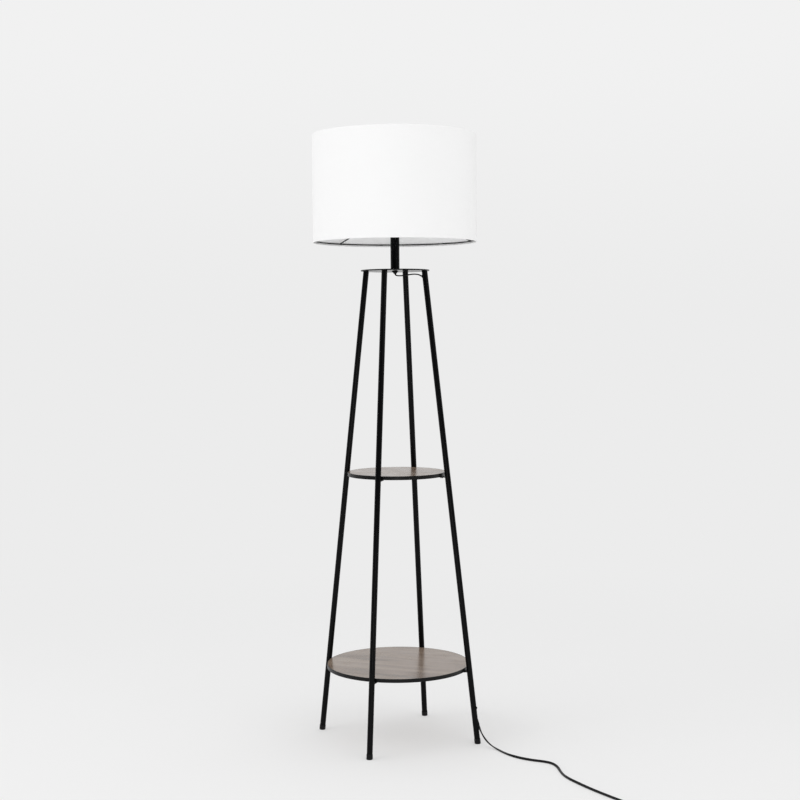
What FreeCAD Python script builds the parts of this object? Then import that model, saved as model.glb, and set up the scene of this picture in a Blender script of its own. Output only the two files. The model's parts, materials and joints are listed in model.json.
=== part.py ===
"""Shelf floor lamp: four splayed tube legs, two round shelves, a short stem and a drum shade.

Millimetres, +Z up. The origin is on the floor under the stem, and the legs stand on the
X and Y axes. The legs are modelled at +X ("right") and turned a quarter at a time.
"""
import FreeCAD, Part
import Sketcher
import math
import os
from types import SimpleNamespace

Vector = FreeCAD.Vector
UP = Vector(0, 0, 1)

# ---------------------------------------------------------------------------- driving sizes

SIZES = {
    # top plate and legs
    "plate_height": 1152.3,        # floor to the plate's underside
    "plate_radius": 84.0,
    "plate_thickness": 3.0,
    "plate_edge_round": 0.8,
    "leg_diameter": 14.0,
    "leg_wall": 1.2,
    "foot_circle": 204.75,         # radius of the leg axes at the floor
    "top_circle": 75.8,            # radius of the leg axes at the plate
    "leg_joint_drop": 8.5,         # middle shelf's tabs to where the two leg tubes meet
    "joiner_length": 60.0,
    "joiner_wall": 1.6,
    "leg_nut_length": 7.0,
    "foot_wall": 0.6,
    "foot_floor": 3.0,
    "foot_height": 12.0,
    "foot_round": 1.8,
    "plate_screw_diameter": 6.0,
    "plate_screw_head": 11.0,
    "plate_screw_head_height": 2.5,    # countersunk, flush with the plate
    "plate_screw_reach": 7.0,      # below the plate's underside
    # shelves
    "middle_shelf_top": 660.5,
    "lower_shelf_top": 186.0,
    "shelf_thickness": 9.0,
    "edging_thickness": 1.0,
    "middle_shelf_gap": 3.4,       # shelf edge to leg
    "lower_shelf_gap": 1.6,
    "tab_length": 12.5,
    "tab_width": 16.0,
    "tab_thickness": 2.0,
    "tab_round": 3.0,
    "tab_hole_inset": 8.5,         # leg surface to the screw's axis
    "tab_hole_clearance": 0.3,
    "shelf_screw_diameter": 3.6,
    "shelf_screw_head": 7.6,
    "shelf_screw_head_height": 2.1,
    "shelf_screw_reach": 6.5,      # into the board
    # stem
    "stem_diameter": 22.0,
    "stem_wall": 1.2,
    "stem_length": 88.0,
    "stem_cap_thickness": 2.0,
    "stem_cap_spigot": 6.0,
    "rod_diameter": 10.0,
    "rod_wall": 1.5,
    "rod_above_stem": 9.0,
    "rod_nut_flats": 14.0,
    "rod_nut_thickness": 2.5,
    "bushing_radius": 5.4,
    "bushing_height": 2.5,
    "bushing_bevel": 1.0,
    # lampholder, heights above the top of the stem's cap
    "holder_neck_radius": 13.0,
    "holder_radius": 20.0,
    "holder_wall": 1.5,
    "holder_cone_height": 14.0,
    "holder_cap_height": 20.0,
    "holder_shoulder": 44.0,       # underside of the flange that the shade rests on
    "holder_flange_radius": 23.0,
    "holder_flange_thickness": 2.0,
    "holder_height": 66.0,
    "holder_thread_radius": 19.6,
    "holder_bore_radius": 17.4,
    "core_low": 17.0,
    "core_high": 25.0,
    "shell_inner_radius": 13.5,
    "shell_wall": 0.5,
    "shell_height": 33.0,
    "contact_radius": 4.5,
    "contact_height": 2.5,
    "knob_height": 9.0,            # knob's axis above the cap's foot
    "knob_angle": 334.0,
    "knob_radius": 7.0,
    "knob_length": 12.0,
    "knob_gap": 1.0,               # knob to the cap's widest radius
    "spindle_radius": 2.5,
    "spindle_inner_reach": 8.0,    # spindle's inner end from the holder's axis
    "spindle_clearance": 0.05,
    "knob_grooves": 12,
    "knob_groove_radius": 1.0,
    # bulb
    "bulb_cap_radius": 13.1,
    "bulb_cap_length": 24.0,
    "bulb_seat_gap": 0.1,
    "bulb_tip_length": 1.4,
    "bulb_insulator_length": 3.0,
    "bulb_collar_radius": 15.5,
    "bulb_collar_neck": 12.0,
    "bulb_collar_length": 34.0,
    "bulb_globe_radius": 30.0,
    "bulb_globe_mouth": 27.0,      # radius where the globe leaves the collar
    # shade
    "shade_radius": 200.0,
    "shade_height": 260.0,
    "shade_bottom": 1222.3,
    "fabric_thickness": 0.6,
    "liner_thickness": 0.6,
    "hem_height": 9.0,
    "seam_thickness": 0.5,
    "seam_angle": 3.0,
    "seam_place": 109.5,
    "wire_diameter": 3.0,
    "ring_inset": 5.2,             # wire ring's centre from the shade's edge
    "ring_clearance": 0.1,         # wire ring to the fabric's hem
    "arm_place": 35.0,
    "fitter_inner_radius": 20.0,
    "fitter_outer_radius": 27.0,
    "fitter_thickness": 2.0,
    "fitter_flange_clearance": 1.0,    # arms to the holder's flange
    "collar_thread_clearance": 0.3,
    "collar_radius": 27.0,
    "collar_flange_radius": 29.0,
    "collar_flange": 2.5,
    "collar_height": 9.0,
    "collar_grooves": 18,
    "collar_groove_radius": 1.2,
    # mains lead
    "cord_diameter": 4.4,          # round tube of the same section as the 6 x 3 flat lead
    "cord_clearance": 0.2,
    "stem_lead_end": 1.0,          # its lower end below the rod's nut, inside the bushing
    "entry_drop": 13.0,            # plate's underside to the lead's way into the right leg
    "entry_hole_radius": 3.4,
    "grommet_radius": 4.6,
    "grommet_flange": 0.8,
    "leg_turn_short": 2.6,         # the lead's turn down the leg: short of the leg's axis,
    "leg_turn_beyond": 1.2,        # beyond it,
    "leg_turn_drop": 4.6,          # and below the way in
    "exit_height": 48.5,           # where the lead's axis comes out of the right leg
    "exit_tilt": 18.0,             # from the vertical
    "exit_slot_reach": 11.5,       # how far the slot follows the lead past that point
    "sleeve_radius": 3.0,
    "sleeve_length": 20.0,
    "sleeve_beyond": 2.5,
    "coil_radius": 41.0,           # outermost turn's centre line
    "coil_pitch": 5.7,             # from turn to turn in one layer
    "coil_layer": 6.6,             # from layer to layer
    "coil_low": 3.9,
    "tie_width": 8.0,
    "tie_thickness": 0.8,
    "tie_clearance": 0.4,
    "plug_length": 36.0,
    "plug_width": 33.0,
    "plug_thickness": 13.6,
    "plug_neck": 12.0,
    "plug_round": 2.5,
    "plug_shoulder": 18.0,         # where the plug reaches its full width
    "pin_spacing": 18.6,
    "pin_diameter": 4.0,
    "pin_length": 19.0,
    "pin_tip_round": 1.2,
}

SIDES = (("right", 0), ("back", 90), ("left", 180), ("front", 270))
ARM_COUNT = 3
COIL_TURNS_PER_LAYER = 2.25
COIL_CENTRE = (655.0, -401.5)
COIL_START_ANGLE = 55.0
PLUG_PLACE = (719.5, -421.0)
PLUG_HEADING = -84.0

# The lead's free stretches, point by point: under the plate, from the leg to the coil on the
# floor, and from the coil to the plug.
BRIDGE_ROUTE = [
    (3.4, 0, 1141.7), (10.5, 0, 1140.9), (19, 0, 1141.2),
    (30, 0, 1142.5), (42, 0, 1143.8), (53, 0, 1142.9),
]
FLOOR_ROUTE = [
    (212.9, -3.9, 33.8), (219.8, -9.0, 24.6), (229.4, -15.2, 15.4),
    (241.5, -22.8, 8.0), (255.5, -31.8, 3.4), (271, -44.5, 2.3), (288, -61, 2.4),
    (311, -79.5, 2.3), (338, -94, 2.4), (368, -101.5, 2.3), (397, -103, 2.4),
    (418, -111, 2.5), (435, -132, 2.6), (447, -159, 2.5), (461, -186, 2.4), (481, -212, 2.3),
    (506, -236, 2.4), (534, -261, 2.3), (564, -285, 2.4), (596, -309, 2.3),
    (624, -329.5, 2.8), (650, -348.6, 3.5),
]
LEAD_ROUTE = [(702, -385.5, 9.6), (714.3, -397, 8.0)]
LEAD_GUIDE = 4.0                   # straight run where a lead meets what it goes into

# ---------------------------------------------------------------------------- sheet and sizes

doc = FreeCAD.newDocument("shelf_floor_lamp")
sheet = doc.addObject("Spreadsheet::Sheet", "Sizes")
for row, (alias, number) in enumerate(SIZES.items(), start=1):
    sheet.set(f"A{row}", alias.replace("_", " "))
    sheet.set(f"B{row}", str(number))
    sheet.setAlias(f"B{row}", alias)
doc.recompute()


class Size:
    """A number together with the sheet expression that gives it."""

    def __init__(self, value, text):
        self.value = float(value)
        self.text = text

    def __add__(self, other):
        other = as_size(other)
        return Size(self.value + other.value, f"({self.text} + {other.text})")

    def __sub__(self, other):
        other = as_size(other)
        return Size(self.value - other.value, f"({self.text} - {other.text})")

    def __mul__(self, other):
        other = as_size(other)
        return Size(self.value * other.value, f"({self.text} * {other.text})")

    def __truediv__(self, other):
        other = as_size(other)
        return Size(self.value / other.value, f"({self.text} / {other.text})")

    def __radd__(self, other):
        return as_size(other) + self

    def __rsub__(self, other):
        return as_size(other) - self

    def __rmul__(self, other):
        return as_size(other) * self

    def __neg__(self):
        return Size(-self.value, f"(0 - {self.text})")


def as_size(number):
    return number if isinstance(number, Size) else Size(number, repr(float(number)))


def atan(size):
    return Size(math.degrees(math.atan(size.value)), f"(atan({size.text}) / 1deg)")


def cos(size):
    return Size(math.cos(math.radians(size.value)), f"cos({size.text})")


def sin(size):
    return Size(math.sin(math.radians(size.value)), f"sin({size.text})")


def tan(size):
    return Size(math.tan(math.radians(size.value)), f"tan({size.text})")


def length_of(across, along):
    square = across * across + along * along
    return Size(math.sqrt(square.value), f"sqrt({square.text})")


s = SimpleNamespace(**{alias: Size(number, f"Sizes.{alias}") for alias, number in SIZES.items()})

# ---------------------------------------------------------------------------- modelling helpers

PIECES = []


def piece(obj, label):
    """Name a finished piece."""
    obj.Label = label
    PIECES.append(obj)
    return obj


def bind(obj, **sizes):
    for name, size in sizes.items():
        obj.setExpression(name, as_size(size).text)
    return obj


def put(obj, x=0, y=0, z=0, axis=UP, angle=0):
    """Place an object, each coordinate and the angle bound to the sheet."""
    x, y, z, angle = as_size(x), as_size(y), as_size(z), as_size(angle)
    base = Vector(x.value, y.value, z.value)
    obj.Placement = FreeCAD.Placement(base, FreeCAD.Rotation(axis, angle.value))
    bind(obj, **{"Placement.Base.x": x, "Placement.Base.y": y, "Placement.Base.z": z})
    if angle.value:
        bind(obj, **{"Placement.Rotation.Angle": angle})
    return obj


def cylinder(radius, height, **place):
    obj = doc.addObject("Part::Cylinder", "cylinder")
    bind(obj, Radius=radius, Height=height)
    return put(obj, **place)


def box(length, width, height, **place):
    obj = doc.addObject("Part::Box", "box")
    bind(obj, Length=length, Width=width, Height=height)
    return put(obj, **place)


def fuse(*shapes):
    obj = doc.addObject("Part::MultiFuse", "fusion")
    obj.Shapes = list(shapes)
    return obj


def cut(base, *tools):
    obj = doc.addObject("Part::Cut", "cut")
    obj.Base = base
    obj.Tool = tools[0] if len(tools) == 1 else fuse(*tools)
    return obj


def group(*shapes):
    obj = doc.addObject("Part::Compound", "group")
    obj.Links = list(shapes)
    return obj


def tube(outer_radius, inner_radius, height, z):
    return cut(cylinder(outer_radius, height, z=z), cylinder(inner_radius, height, z=z))


def round_edges(base, radius, chosen):
    """Round the edges that chosen(edge) picks."""
    doc.recompute()
    obj = doc.addObject("Part::Fillet", "rounding")
    obj.Base = base
    numbers = [i for i, edge in enumerate(base.Shape.Edges, start=1) if chosen(edge)]
    obj.Edges = [(i, radius.value, radius.value) for i in numbers]
    return obj


def is_vertical(edge):
    ends = [vertex.Point for vertex in edge.Vertexes]
    return len(ends) == 2 and (ends[1] - ends[0]).cross(UP).Length < 1e-6


def turned_about_stem(obj, angle):
    obj.Placement = FreeCAD.Placement(Vector(), FreeCAD.Rotation(UP, angle))
    return obj


def new_body(label):
    return doc.addObject("PartDesign::Body", label)


def origin_feature(body, role):
    return next(f for f in body.Origin.OriginFeatures if f.Role == role)


def new_sketch(body, plane, name):
    sketch = body.newObject("Sketcher::SketchObject", name)
    sketch.AttachmentSupport = [(origin_feature(body, plane), "")]
    sketch.MapMode = "FlatFace"
    return sketch


def dimension(sketch, kind, *place_and_size):
    """Add a dimension to a sketch, bound to the sheet."""
    *place, size = place_and_size
    size = as_size(size)
    number = sketch.addConstraint(Sketcher.Constraint(kind, *place, size.value))
    sketch.setExpression(f"Constraints[{number}]", size.text)


def draw_circle(sketch, radius, x=0):
    """A circle on the sketch's horizontal axis."""
    x = as_size(x)
    circle = sketch.addGeometry(Part.Circle(Vector(x.value, 0, 0), UP, as_size(radius).value), False)
    dimension(sketch, "Radius", circle, radius)
    if x.value:
        sketch.addConstraint(Sketcher.Constraint("PointOnObject", circle, 3, -1))
        dimension(sketch, "DistanceX", -1, 1, circle, 3, x)
    else:
        sketch.addConstraint(Sketcher.Constraint("Coincident", circle, 3, -1, 1))


def draw_outline(sketch, corners):
    """A closed outline of straight lines through corners on the sketch's positive side."""
    corners = [(as_size(a), as_size(b)) for a, b in corners]
    points = [Vector(a.value, b.value, 0) for a, b in corners]
    lines = []
    for start, end in zip(points, points[1:] + points[:1]):
        lines.append(sketch.addGeometry(Part.LineSegment(start, end), False))
    for line, following in zip(lines, lines[1:] + lines[:1]):
        sketch.addConstraint(Sketcher.Constraint("Coincident", line, 2, following, 1))
    for line, (across, up) in zip(lines, corners):
        for kind, size, axis in (("DistanceX", across, -2), ("DistanceY", up, -1)):
            if size.value:
                dimension(sketch, kind, -1, 1, line, 1, size)
            else:
                sketch.addConstraint(Sketcher.Constraint("PointOnObject", line, 1, axis))


def pad(body, sketch, length):
    feature = body.newObject("PartDesign::Pad", "pad")
    feature.Profile = sketch
    bind(feature, Length=length)
    return feature


def pocket_up(body, sketch, depth):
    """Cut upwards from the sketch's plane, and make sure that it cuts."""
    doc.recompute()
    before = body.Shape.Volume
    feature = body.newObject("PartDesign::Pocket", "pocket")
    feature.Profile = sketch
    feature.Reversed = True
    bind(feature, Length=depth)
    doc.recompute()
    if body.Shape.Volume > before - 1e-3:
        raise RuntimeError(f"{body.Name}: the pocket cuts nothing")
    return feature


def repeat_round(body, feature, count):
    pattern = body.newObject("PartDesign::PolarPattern", "round_pattern")
    pattern.Originals = [feature]
    pattern.Axis = (origin_feature(body, "Z_Axis"), [""])
    pattern.Angle = 360
    pattern.Occurrences = count
    body.Tip = pattern
    return pattern


def turned(name, corners, **place):
    """A piece turned about the vertical axis from an outline of (radius, height) corners."""
    body = new_body(name)
    sketch = new_sketch(body, "XZ_Plane", "profile")
    draw_outline(sketch, corners)
    feature = body.newObject("PartDesign::Revolution", "turning")
    feature.Profile = sketch
    feature.ReferenceAxis = (sketch, ["V_Axis"])
    feature.Angle = 360
    return put(body, **place)


# ---------------------------------------------------------------------------- worked-out sizes

leg_radius = s.leg_diameter / 2
leg_bore = leg_radius - s.leg_wall
leg_lean = (s.foot_circle - s.top_circle) / s.plate_height
splay = atan(leg_lean)
leg_half_width = leg_radius / cos(splay)
TRIM = 5.0                         # spare length that a cutting tool reaches past its cut
leg_joint = s.middle_shelf_top - s.shelf_thickness - s.tab_thickness - s.leg_joint_drop
entry_height = s.plate_height - s.entry_drop
plate_top = s.plate_height + s.plate_thickness
cord_radius = s.cord_diameter / 2
cord_bore = cord_radius + s.cord_clearance
rod_radius = s.rod_diameter / 2
stem_top = plate_top + s.stem_length
holder_foot = stem_top + s.stem_cap_thickness
fitter_low = holder_foot + s.holder_shoulder + s.holder_flange_thickness
fitter_high = fitter_low + s.fitter_thickness


def leg_at(height):
    """The right leg axis's distance from the stem at a height."""
    return s.foot_circle - height * leg_lean


def along_leg(radius, low, high, low_spare=0.0, high_spare=0.0):
    """A round bar on the right leg's axis between two heights."""
    length = (high - low) / cos(splay) + low_spare + high_spare
    x = leg_at(as_size(low)) + sin(splay) * low_spare
    z = low - cos(splay) * low_spare
    return cylinder(radius, length, x=x, z=z, axis=Vector(0, -1, 0), angle=splay)


def shelf_radius(top, gap):
    return leg_at(top) - leg_half_width - gap


def tab_screw_circle(top):
    return leg_at(top - s.shelf_thickness) - leg_half_width - s.tab_hole_inset


# ---------------------------------------------------------------------------- frame

def screw_head():
    """The countersunk head of the plate screw over the right leg."""
    cone = doc.addObject("Part::Cone", "cone")
    bind(cone, Radius1=s.plate_screw_diameter / 2, Radius2=s.plate_screw_head / 2,
         Height=s.plate_screw_head_height)
    return put(cone, x=s.top_circle, z=plate_top - s.plate_screw_head_height)


def make_top_plate():
    """Flat steel disc: the stem stands on it and the four legs are screwed to it."""
    body = new_body("plate_disc")
    sketch = new_sketch(body, "XY_Plane", "disc")
    draw_circle(sketch, s.plate_radius)
    pad(body, sketch, s.plate_thickness)
    middle = new_sketch(body, "XY_Plane", "rod_hole")
    draw_circle(middle, rod_radius)
    pocket_up(body, middle, s.plate_thickness)
    hole = new_sketch(body, "XY_Plane", "screw_hole")
    draw_circle(hole, s.plate_screw_diameter / 2, s.top_circle)
    repeat_round(body, pocket_up(body, hole, s.plate_thickness), len(SIDES))
    doc.recompute()
    edges = [f"Edge{i}" for i, edge in enumerate(body.Shape.Edges, start=1)
             if abs(edge.Length - 2 * math.pi * s.plate_radius.value) < 1e-3]
    disc = body.Tip
    rounding = body.newObject("PartDesign::Fillet", "rim")
    rounding.Base = (disc, edges)
    bind(rounding, Radius=s.plate_edge_round)
    sinks = [turned_about_stem(group(screw_head()), turn) for _, turn in SIDES]
    piece(cut(put(body, z=s.plate_height), *sinks), "top_plate")


def shelf_tab(top):
    """Welded tab that carries a shelf on the right leg, and the drill for its screw hole."""
    under = top - s.shelf_thickness
    length = s.tab_length + leg_half_width
    plate = box(length, s.tab_width, s.tab_thickness, x=leg_at(under) - length,
                y=-s.tab_width / 2, z=under - s.tab_thickness)
    inner_end = (leg_at(under) - length).value
    tab = round_edges(plate, s.tab_round, lambda edge: is_vertical(edge)
                      and abs(edge.Vertexes[0].Point.x - inner_end) < 1e-6)
    drill = cylinder(s.shelf_screw_diameter / 2 + s.tab_hole_clearance, s.tab_thickness + 2 * TRIM,
                     x=tab_screw_circle(top), z=under - s.tab_thickness - TRIM)
    return tab, drill


def exit_point():
    """Where the lead's axis crosses the right leg's outer face, low down."""
    return leg_at(s.exit_height) + leg_half_width


def exit_bar(radius, reach_in, reach_out):
    """A bar along the lead's way out of the right leg."""
    x = exit_point() - sin(s.exit_tilt) * reach_in
    z = s.exit_height + cos(s.exit_tilt) * reach_in
    downward = as_size(180) - s.exit_tilt
    return cylinder(radius, reach_in + reach_out, x=x, z=z, axis=Vector(0, 1, 0), angle=downward)


def entry_bar(radius, low, high):
    """A bar across the right leg at the lead's way in, low and high from the leg's axis inwards."""
    x = leg_at(entry_height) - cos(splay) * low
    z = entry_height - sin(splay) * low
    inward = as_size(90) + splay
    return cylinder(radius, high - low, x=x, z=z, axis=Vector(0, -1, 0), angle=inward)


def make_lower_leg(side, turn):
    tab, drill = shelf_tab(s.lower_shelf_top)
    bar = along_leg(leg_radius, s.foot_floor, leg_joint)
    tools = [along_leg(leg_bore, s.foot_floor, leg_joint, TRIM, TRIM), drill]
    if side == "right":
        tools.append(exit_bar(s.sleeve_radius, s.sleeve_length - s.sleeve_beyond,
                              s.exit_slot_reach))
    leg = cut(fuse(bar, tab), *tools)
    piece(turned_about_stem(leg, turn), f"lower_leg_{side}")


def make_upper_leg(side, turn):
    tab, drill = shelf_tab(s.middle_shelf_top)
    bar = along_leg(leg_radius, leg_joint, s.plate_height, 0, TRIM)
    above = box(4 * leg_radius, 4 * leg_radius, 2 * TRIM, x=s.top_circle - 2 * leg_radius,
                y=-2 * leg_radius, z=s.plate_height)
    tools = [along_leg(leg_bore, leg_joint, s.plate_height, TRIM, TRIM), drill, above]
    if side == "right":
        tools.append(entry_bar(s.entry_hole_radius, as_size(0), leg_radius + TRIM))
    leg = cut(fuse(bar, tab), *tools)
    piece(turned_about_stem(leg, turn), f"upper_leg_{side}")


def make_foot(side, turn):
    """Moulded cap on the leg's end, flat where it stands."""
    outer = along_leg(leg_radius + s.foot_wall, as_size(0), s.foot_height, TRIM, 0)
    socket = along_leg(leg_radius, s.foot_floor, s.foot_height, 0, TRIM)
    width = 4 * leg_radius
    ground = box(width, width, 2 * TRIM, x=s.foot_circle - width / 2, y=-width / 2, z=-2 * TRIM)
    cap = round_edges(cut(outer, socket, ground), s.foot_round,
                      lambda edge: edge.BoundBox.ZMax < 1e-6)
    piece(turned_about_stem(cap, turn), f"foot_cap_{side}")


def make_leg_fittings():
    """Inside the legs: the sleeves that join the two tubes and the nuts for the plate's screws."""
    joiners, nuts, screws = [], [], []
    for _, turn in SIDES:
        half = s.joiner_length / 2
        low = leg_joint - cos(splay) * half
        high = leg_joint + cos(splay) * half
        sleeve = cut(along_leg(leg_bore, low, high),
                     along_leg(leg_bore - s.joiner_wall, low, high, TRIM, TRIM))
        joiners.append(turned_about_stem(sleeve, turn))
        block = along_leg(leg_bore, s.plate_height - s.leg_nut_length, s.plate_height, 0, TRIM)
        above = box(4 * leg_radius, 4 * leg_radius, 2 * TRIM, x=s.top_circle - 2 * leg_radius,
                    y=-2 * leg_radius, z=s.plate_height)
        thread = cylinder(s.plate_screw_diameter / 2, s.leg_nut_length + 2 * TRIM,
                          x=s.top_circle, z=s.plate_height - s.leg_nut_length - TRIM)
        nuts.append(turned_about_stem(cut(block, above, thread), turn))
        shank = cylinder(s.plate_screw_diameter / 2, s.plate_screw_reach + s.plate_thickness,
                         x=s.top_circle, z=s.plate_height - s.plate_screw_reach)
        screws.append(turned_about_stem(fuse(shank, screw_head()), turn))
    piece(group(*joiners), "leg_joiners")
    piece(group(*nuts), "leg_nuts")
    piece(group(*screws), "plate_screws")


def make_shelf(name, top, gap):
    """Round board with its edge band and the four screws that hold it to the legs' tabs."""
    under = top - s.shelf_thickness
    radius = shelf_radius(top, gap)
    screw_circle = tab_screw_circle(top)
    body = new_body(name)
    sketch = new_sketch(body, "XY_Plane", "disc")
    draw_circle(sketch, radius - s.edging_thickness)
    pad(body, sketch, s.shelf_thickness)
    hole = new_sketch(body, "XY_Plane", "screw_hole")
    draw_circle(hole, s.shelf_screw_diameter / 2, screw_circle)
    repeat_round(body, pocket_up(body, hole, s.shelf_screw_reach), len(SIDES))
    piece(put(body, z=under), name)
    band = tube(radius, radius - s.edging_thickness, s.shelf_thickness, under)
    piece(band, f"{name}_edging")
    screws = []
    for _, turn in SIDES:
        low = under - s.tab_thickness
        shank = cylinder(s.shelf_screw_diameter / 2, s.tab_thickness + s.shelf_screw_reach,
                         x=screw_circle, z=low)
        head = cylinder(s.shelf_screw_head / 2, s.shelf_screw_head_height,
                        x=screw_circle, z=low - s.shelf_screw_head_height)
        screws.append(turned_about_stem(fuse(shank, head), turn))
    piece(group(*screws), f"{name}_screws")


# ---------------------------------------------------------------------------- stem and holder

def make_stem():
    stem_radius = s.stem_diameter / 2
    stem_bore = stem_radius - s.stem_wall
    piece(tube(stem_radius, stem_bore, s.stem_length, plate_top), "stem")
    cap = turned("stem_cap", [
        (rod_radius, 0), (stem_bore, 0), (stem_bore, s.stem_cap_spigot),
        (stem_radius, s.stem_cap_spigot), (stem_radius, s.stem_cap_spigot + s.stem_cap_thickness),
        (rod_radius, s.stem_cap_spigot + s.stem_cap_thickness)], z=stem_top - s.stem_cap_spigot)
    piece(cap, "stem_cap")
    rod_low = s.plate_height - s.rod_nut_thickness
    rod_length = holder_foot + s.rod_above_stem - rod_low
    piece(tube(rod_radius, rod_radius - s.rod_wall, rod_length, rod_low), "threaded_rod")
    hexagon = doc.addObject("Part::Prism", "hexagon")
    hexagon.Polygon = 6
    bind(hexagon, Circumradius=s.rod_nut_flats / (2 * cos(as_size(30))), Height=s.rod_nut_thickness)
    put(hexagon, z=rod_low)
    piece(cut(hexagon, cylinder(rod_radius, s.rod_nut_thickness, z=rod_low)), "rod_nut")
    bushing = turned("rod_bushing", [
        (cord_bore, 0), (s.bushing_radius - s.bushing_bevel, 0),
        (s.bushing_radius, s.bushing_bevel), (s.bushing_radius, s.bushing_height),
        (cord_bore, s.bushing_height)], z=rod_low - s.bushing_height)
    piece(bushing, "rod_bushing")


def across_holder(radius, start, length):
    """A bar on the switch's axis, square to the holder, from start outwards."""
    x = cos(s.knob_angle) * start
    y = sin(s.knob_angle) * start
    bar = cylinder(radius, length)
    aim = FreeCAD.Rotation(UP, s.knob_angle.value) * FreeCAD.Rotation(Vector(0, 1, 0), 90)
    bar.Placement = FreeCAD.Placement(bar.Placement.Base, aim)
    return bind(bar, **{"Placement.Base.x": x, "Placement.Base.y": y,
                        "Placement.Base.z": holder_foot + s.knob_height})


def make_holder():
    """Lampholder: cap with the rotary switch, threaded body, ceramic core and screw shell."""
    wall = s.holder_wall
    inner = s.holder_radius - wall
    shell_of_cap = turned("holder_cap_body", [
        (rod_radius, 0), (s.holder_neck_radius, 0), (s.holder_radius, s.holder_cone_height),
        (s.holder_radius, s.holder_cap_height), (inner, s.holder_cap_height),
        (inner, s.holder_cone_height), (s.holder_neck_radius - wall, wall),
        (rod_radius, wall)], z=holder_foot)
    drill = across_holder(s.spindle_radius + s.spindle_clearance, s.spindle_inner_reach,
                          s.holder_radius)
    piece(cut(shell_of_cap, drill), "holder_cap")
    flange_top = s.holder_shoulder + s.holder_flange_thickness
    body = turned("holder_body", [
        (s.holder_bore_radius, s.core_low), (inner, s.core_low), (inner, s.holder_cap_height),
        (s.holder_radius, s.holder_cap_height), (s.holder_radius, s.holder_shoulder),
        (s.holder_flange_radius, s.holder_shoulder), (s.holder_flange_radius, flange_top),
        (s.holder_thread_radius, flange_top), (s.holder_thread_radius, s.holder_height),
        (s.holder_bore_radius, s.holder_height)], z=holder_foot)
    piece(body, "holder_body")
    core_height = s.core_high - s.core_low
    piece(cylinder(s.holder_bore_radius, core_height, z=holder_foot + s.core_low), "holder_core")
    shell_outer = s.shell_inner_radius + s.shell_wall
    core_top = holder_foot + s.core_high
    piece(tube(shell_outer, s.shell_inner_radius, s.shell_height, core_top), "screw_shell")
    piece(cylinder(s.contact_radius, s.contact_height, z=core_top), "centre_contact")


def make_switch():
    knob_start = s.holder_radius + s.knob_gap
    spindle_length = knob_start + s.knob_length / 2 - s.spindle_inner_reach
    knob = new_body("knob_body")
    sketch = new_sketch(knob, "XY_Plane", "disc")
    draw_circle(sketch, s.knob_radius)
    pad(knob, sketch, s.knob_length)
    groove = new_sketch(knob, "XY_Plane", "groove")
    draw_circle(groove, s.knob_groove_radius, s.knob_radius)
    repeat_round(knob, pocket_up(knob, groove, s.knob_length), SIZES["knob_grooves"])
    doc.recompute()
    aim = FreeCAD.Rotation(UP, s.knob_angle.value) * FreeCAD.Rotation(Vector(0, 1, 0), 90)
    knob.Placement = FreeCAD.Placement(Vector(), aim)
    bind(knob, **{"Placement.Base.x": cos(s.knob_angle) * knob_start,
                  "Placement.Base.y": sin(s.knob_angle) * knob_start,
                  "Placement.Base.z": holder_foot + s.knob_height})
    bore = across_holder(s.spindle_radius, knob_start, s.knob_length / 2)
    piece(cut(knob, bore), "switch_knob")
    piece(across_holder(s.spindle_radius, s.spindle_inner_reach, spindle_length), "switch_spindle")


def make_bulb():
    tip_low = holder_foot + s.core_high + s.contact_height + s.bulb_seat_gap
    piece(cylinder(s.contact_radius, s.bulb_tip_length, z=tip_low), "bulb_contact")
    insulator_low = tip_low + s.bulb_tip_length
    cone = doc.addObject("Part::Cone", "cone")
    bind(cone, Radius1=s.contact_radius, Radius2=s.bulb_cap_radius, Height=s.bulb_insulator_length)
    piece(put(cone, z=insulator_low), "bulb_insulator")
    cap_low = insulator_low + s.bulb_insulator_length
    piece(cylinder(s.bulb_cap_radius, s.bulb_cap_length, z=cap_low), "bulb_cap")
    collar_low = cap_low + s.bulb_cap_length
    collar = turned("bulb_collar", [
        (0, 0), (s.bulb_cap_radius, 0), (s.bulb_collar_radius, s.bulb_collar_neck),
        (s.bulb_globe_mouth, s.bulb_collar_length), (0, s.bulb_collar_length)], z=collar_low)
    piece(collar, "bulb_collar")
    square = s.bulb_globe_radius * s.bulb_globe_radius - s.bulb_globe_mouth * s.bulb_globe_mouth
    rise = Size(math.sqrt(square.value), f"sqrt({square.text})")
    mouth = collar_low + s.bulb_collar_length
    ball = doc.addObject("Part::Sphere", "ball")
    bind(ball, Radius=s.bulb_globe_radius)
    put(ball, z=mouth + rise)
    width = 3 * s.bulb_globe_radius
    below = box(width, width, width, x=-width / 2, y=-width / 2, z=mouth - width)
    piece(cut(ball, below), "bulb_globe")


# ---------------------------------------------------------------------------- shade

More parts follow.
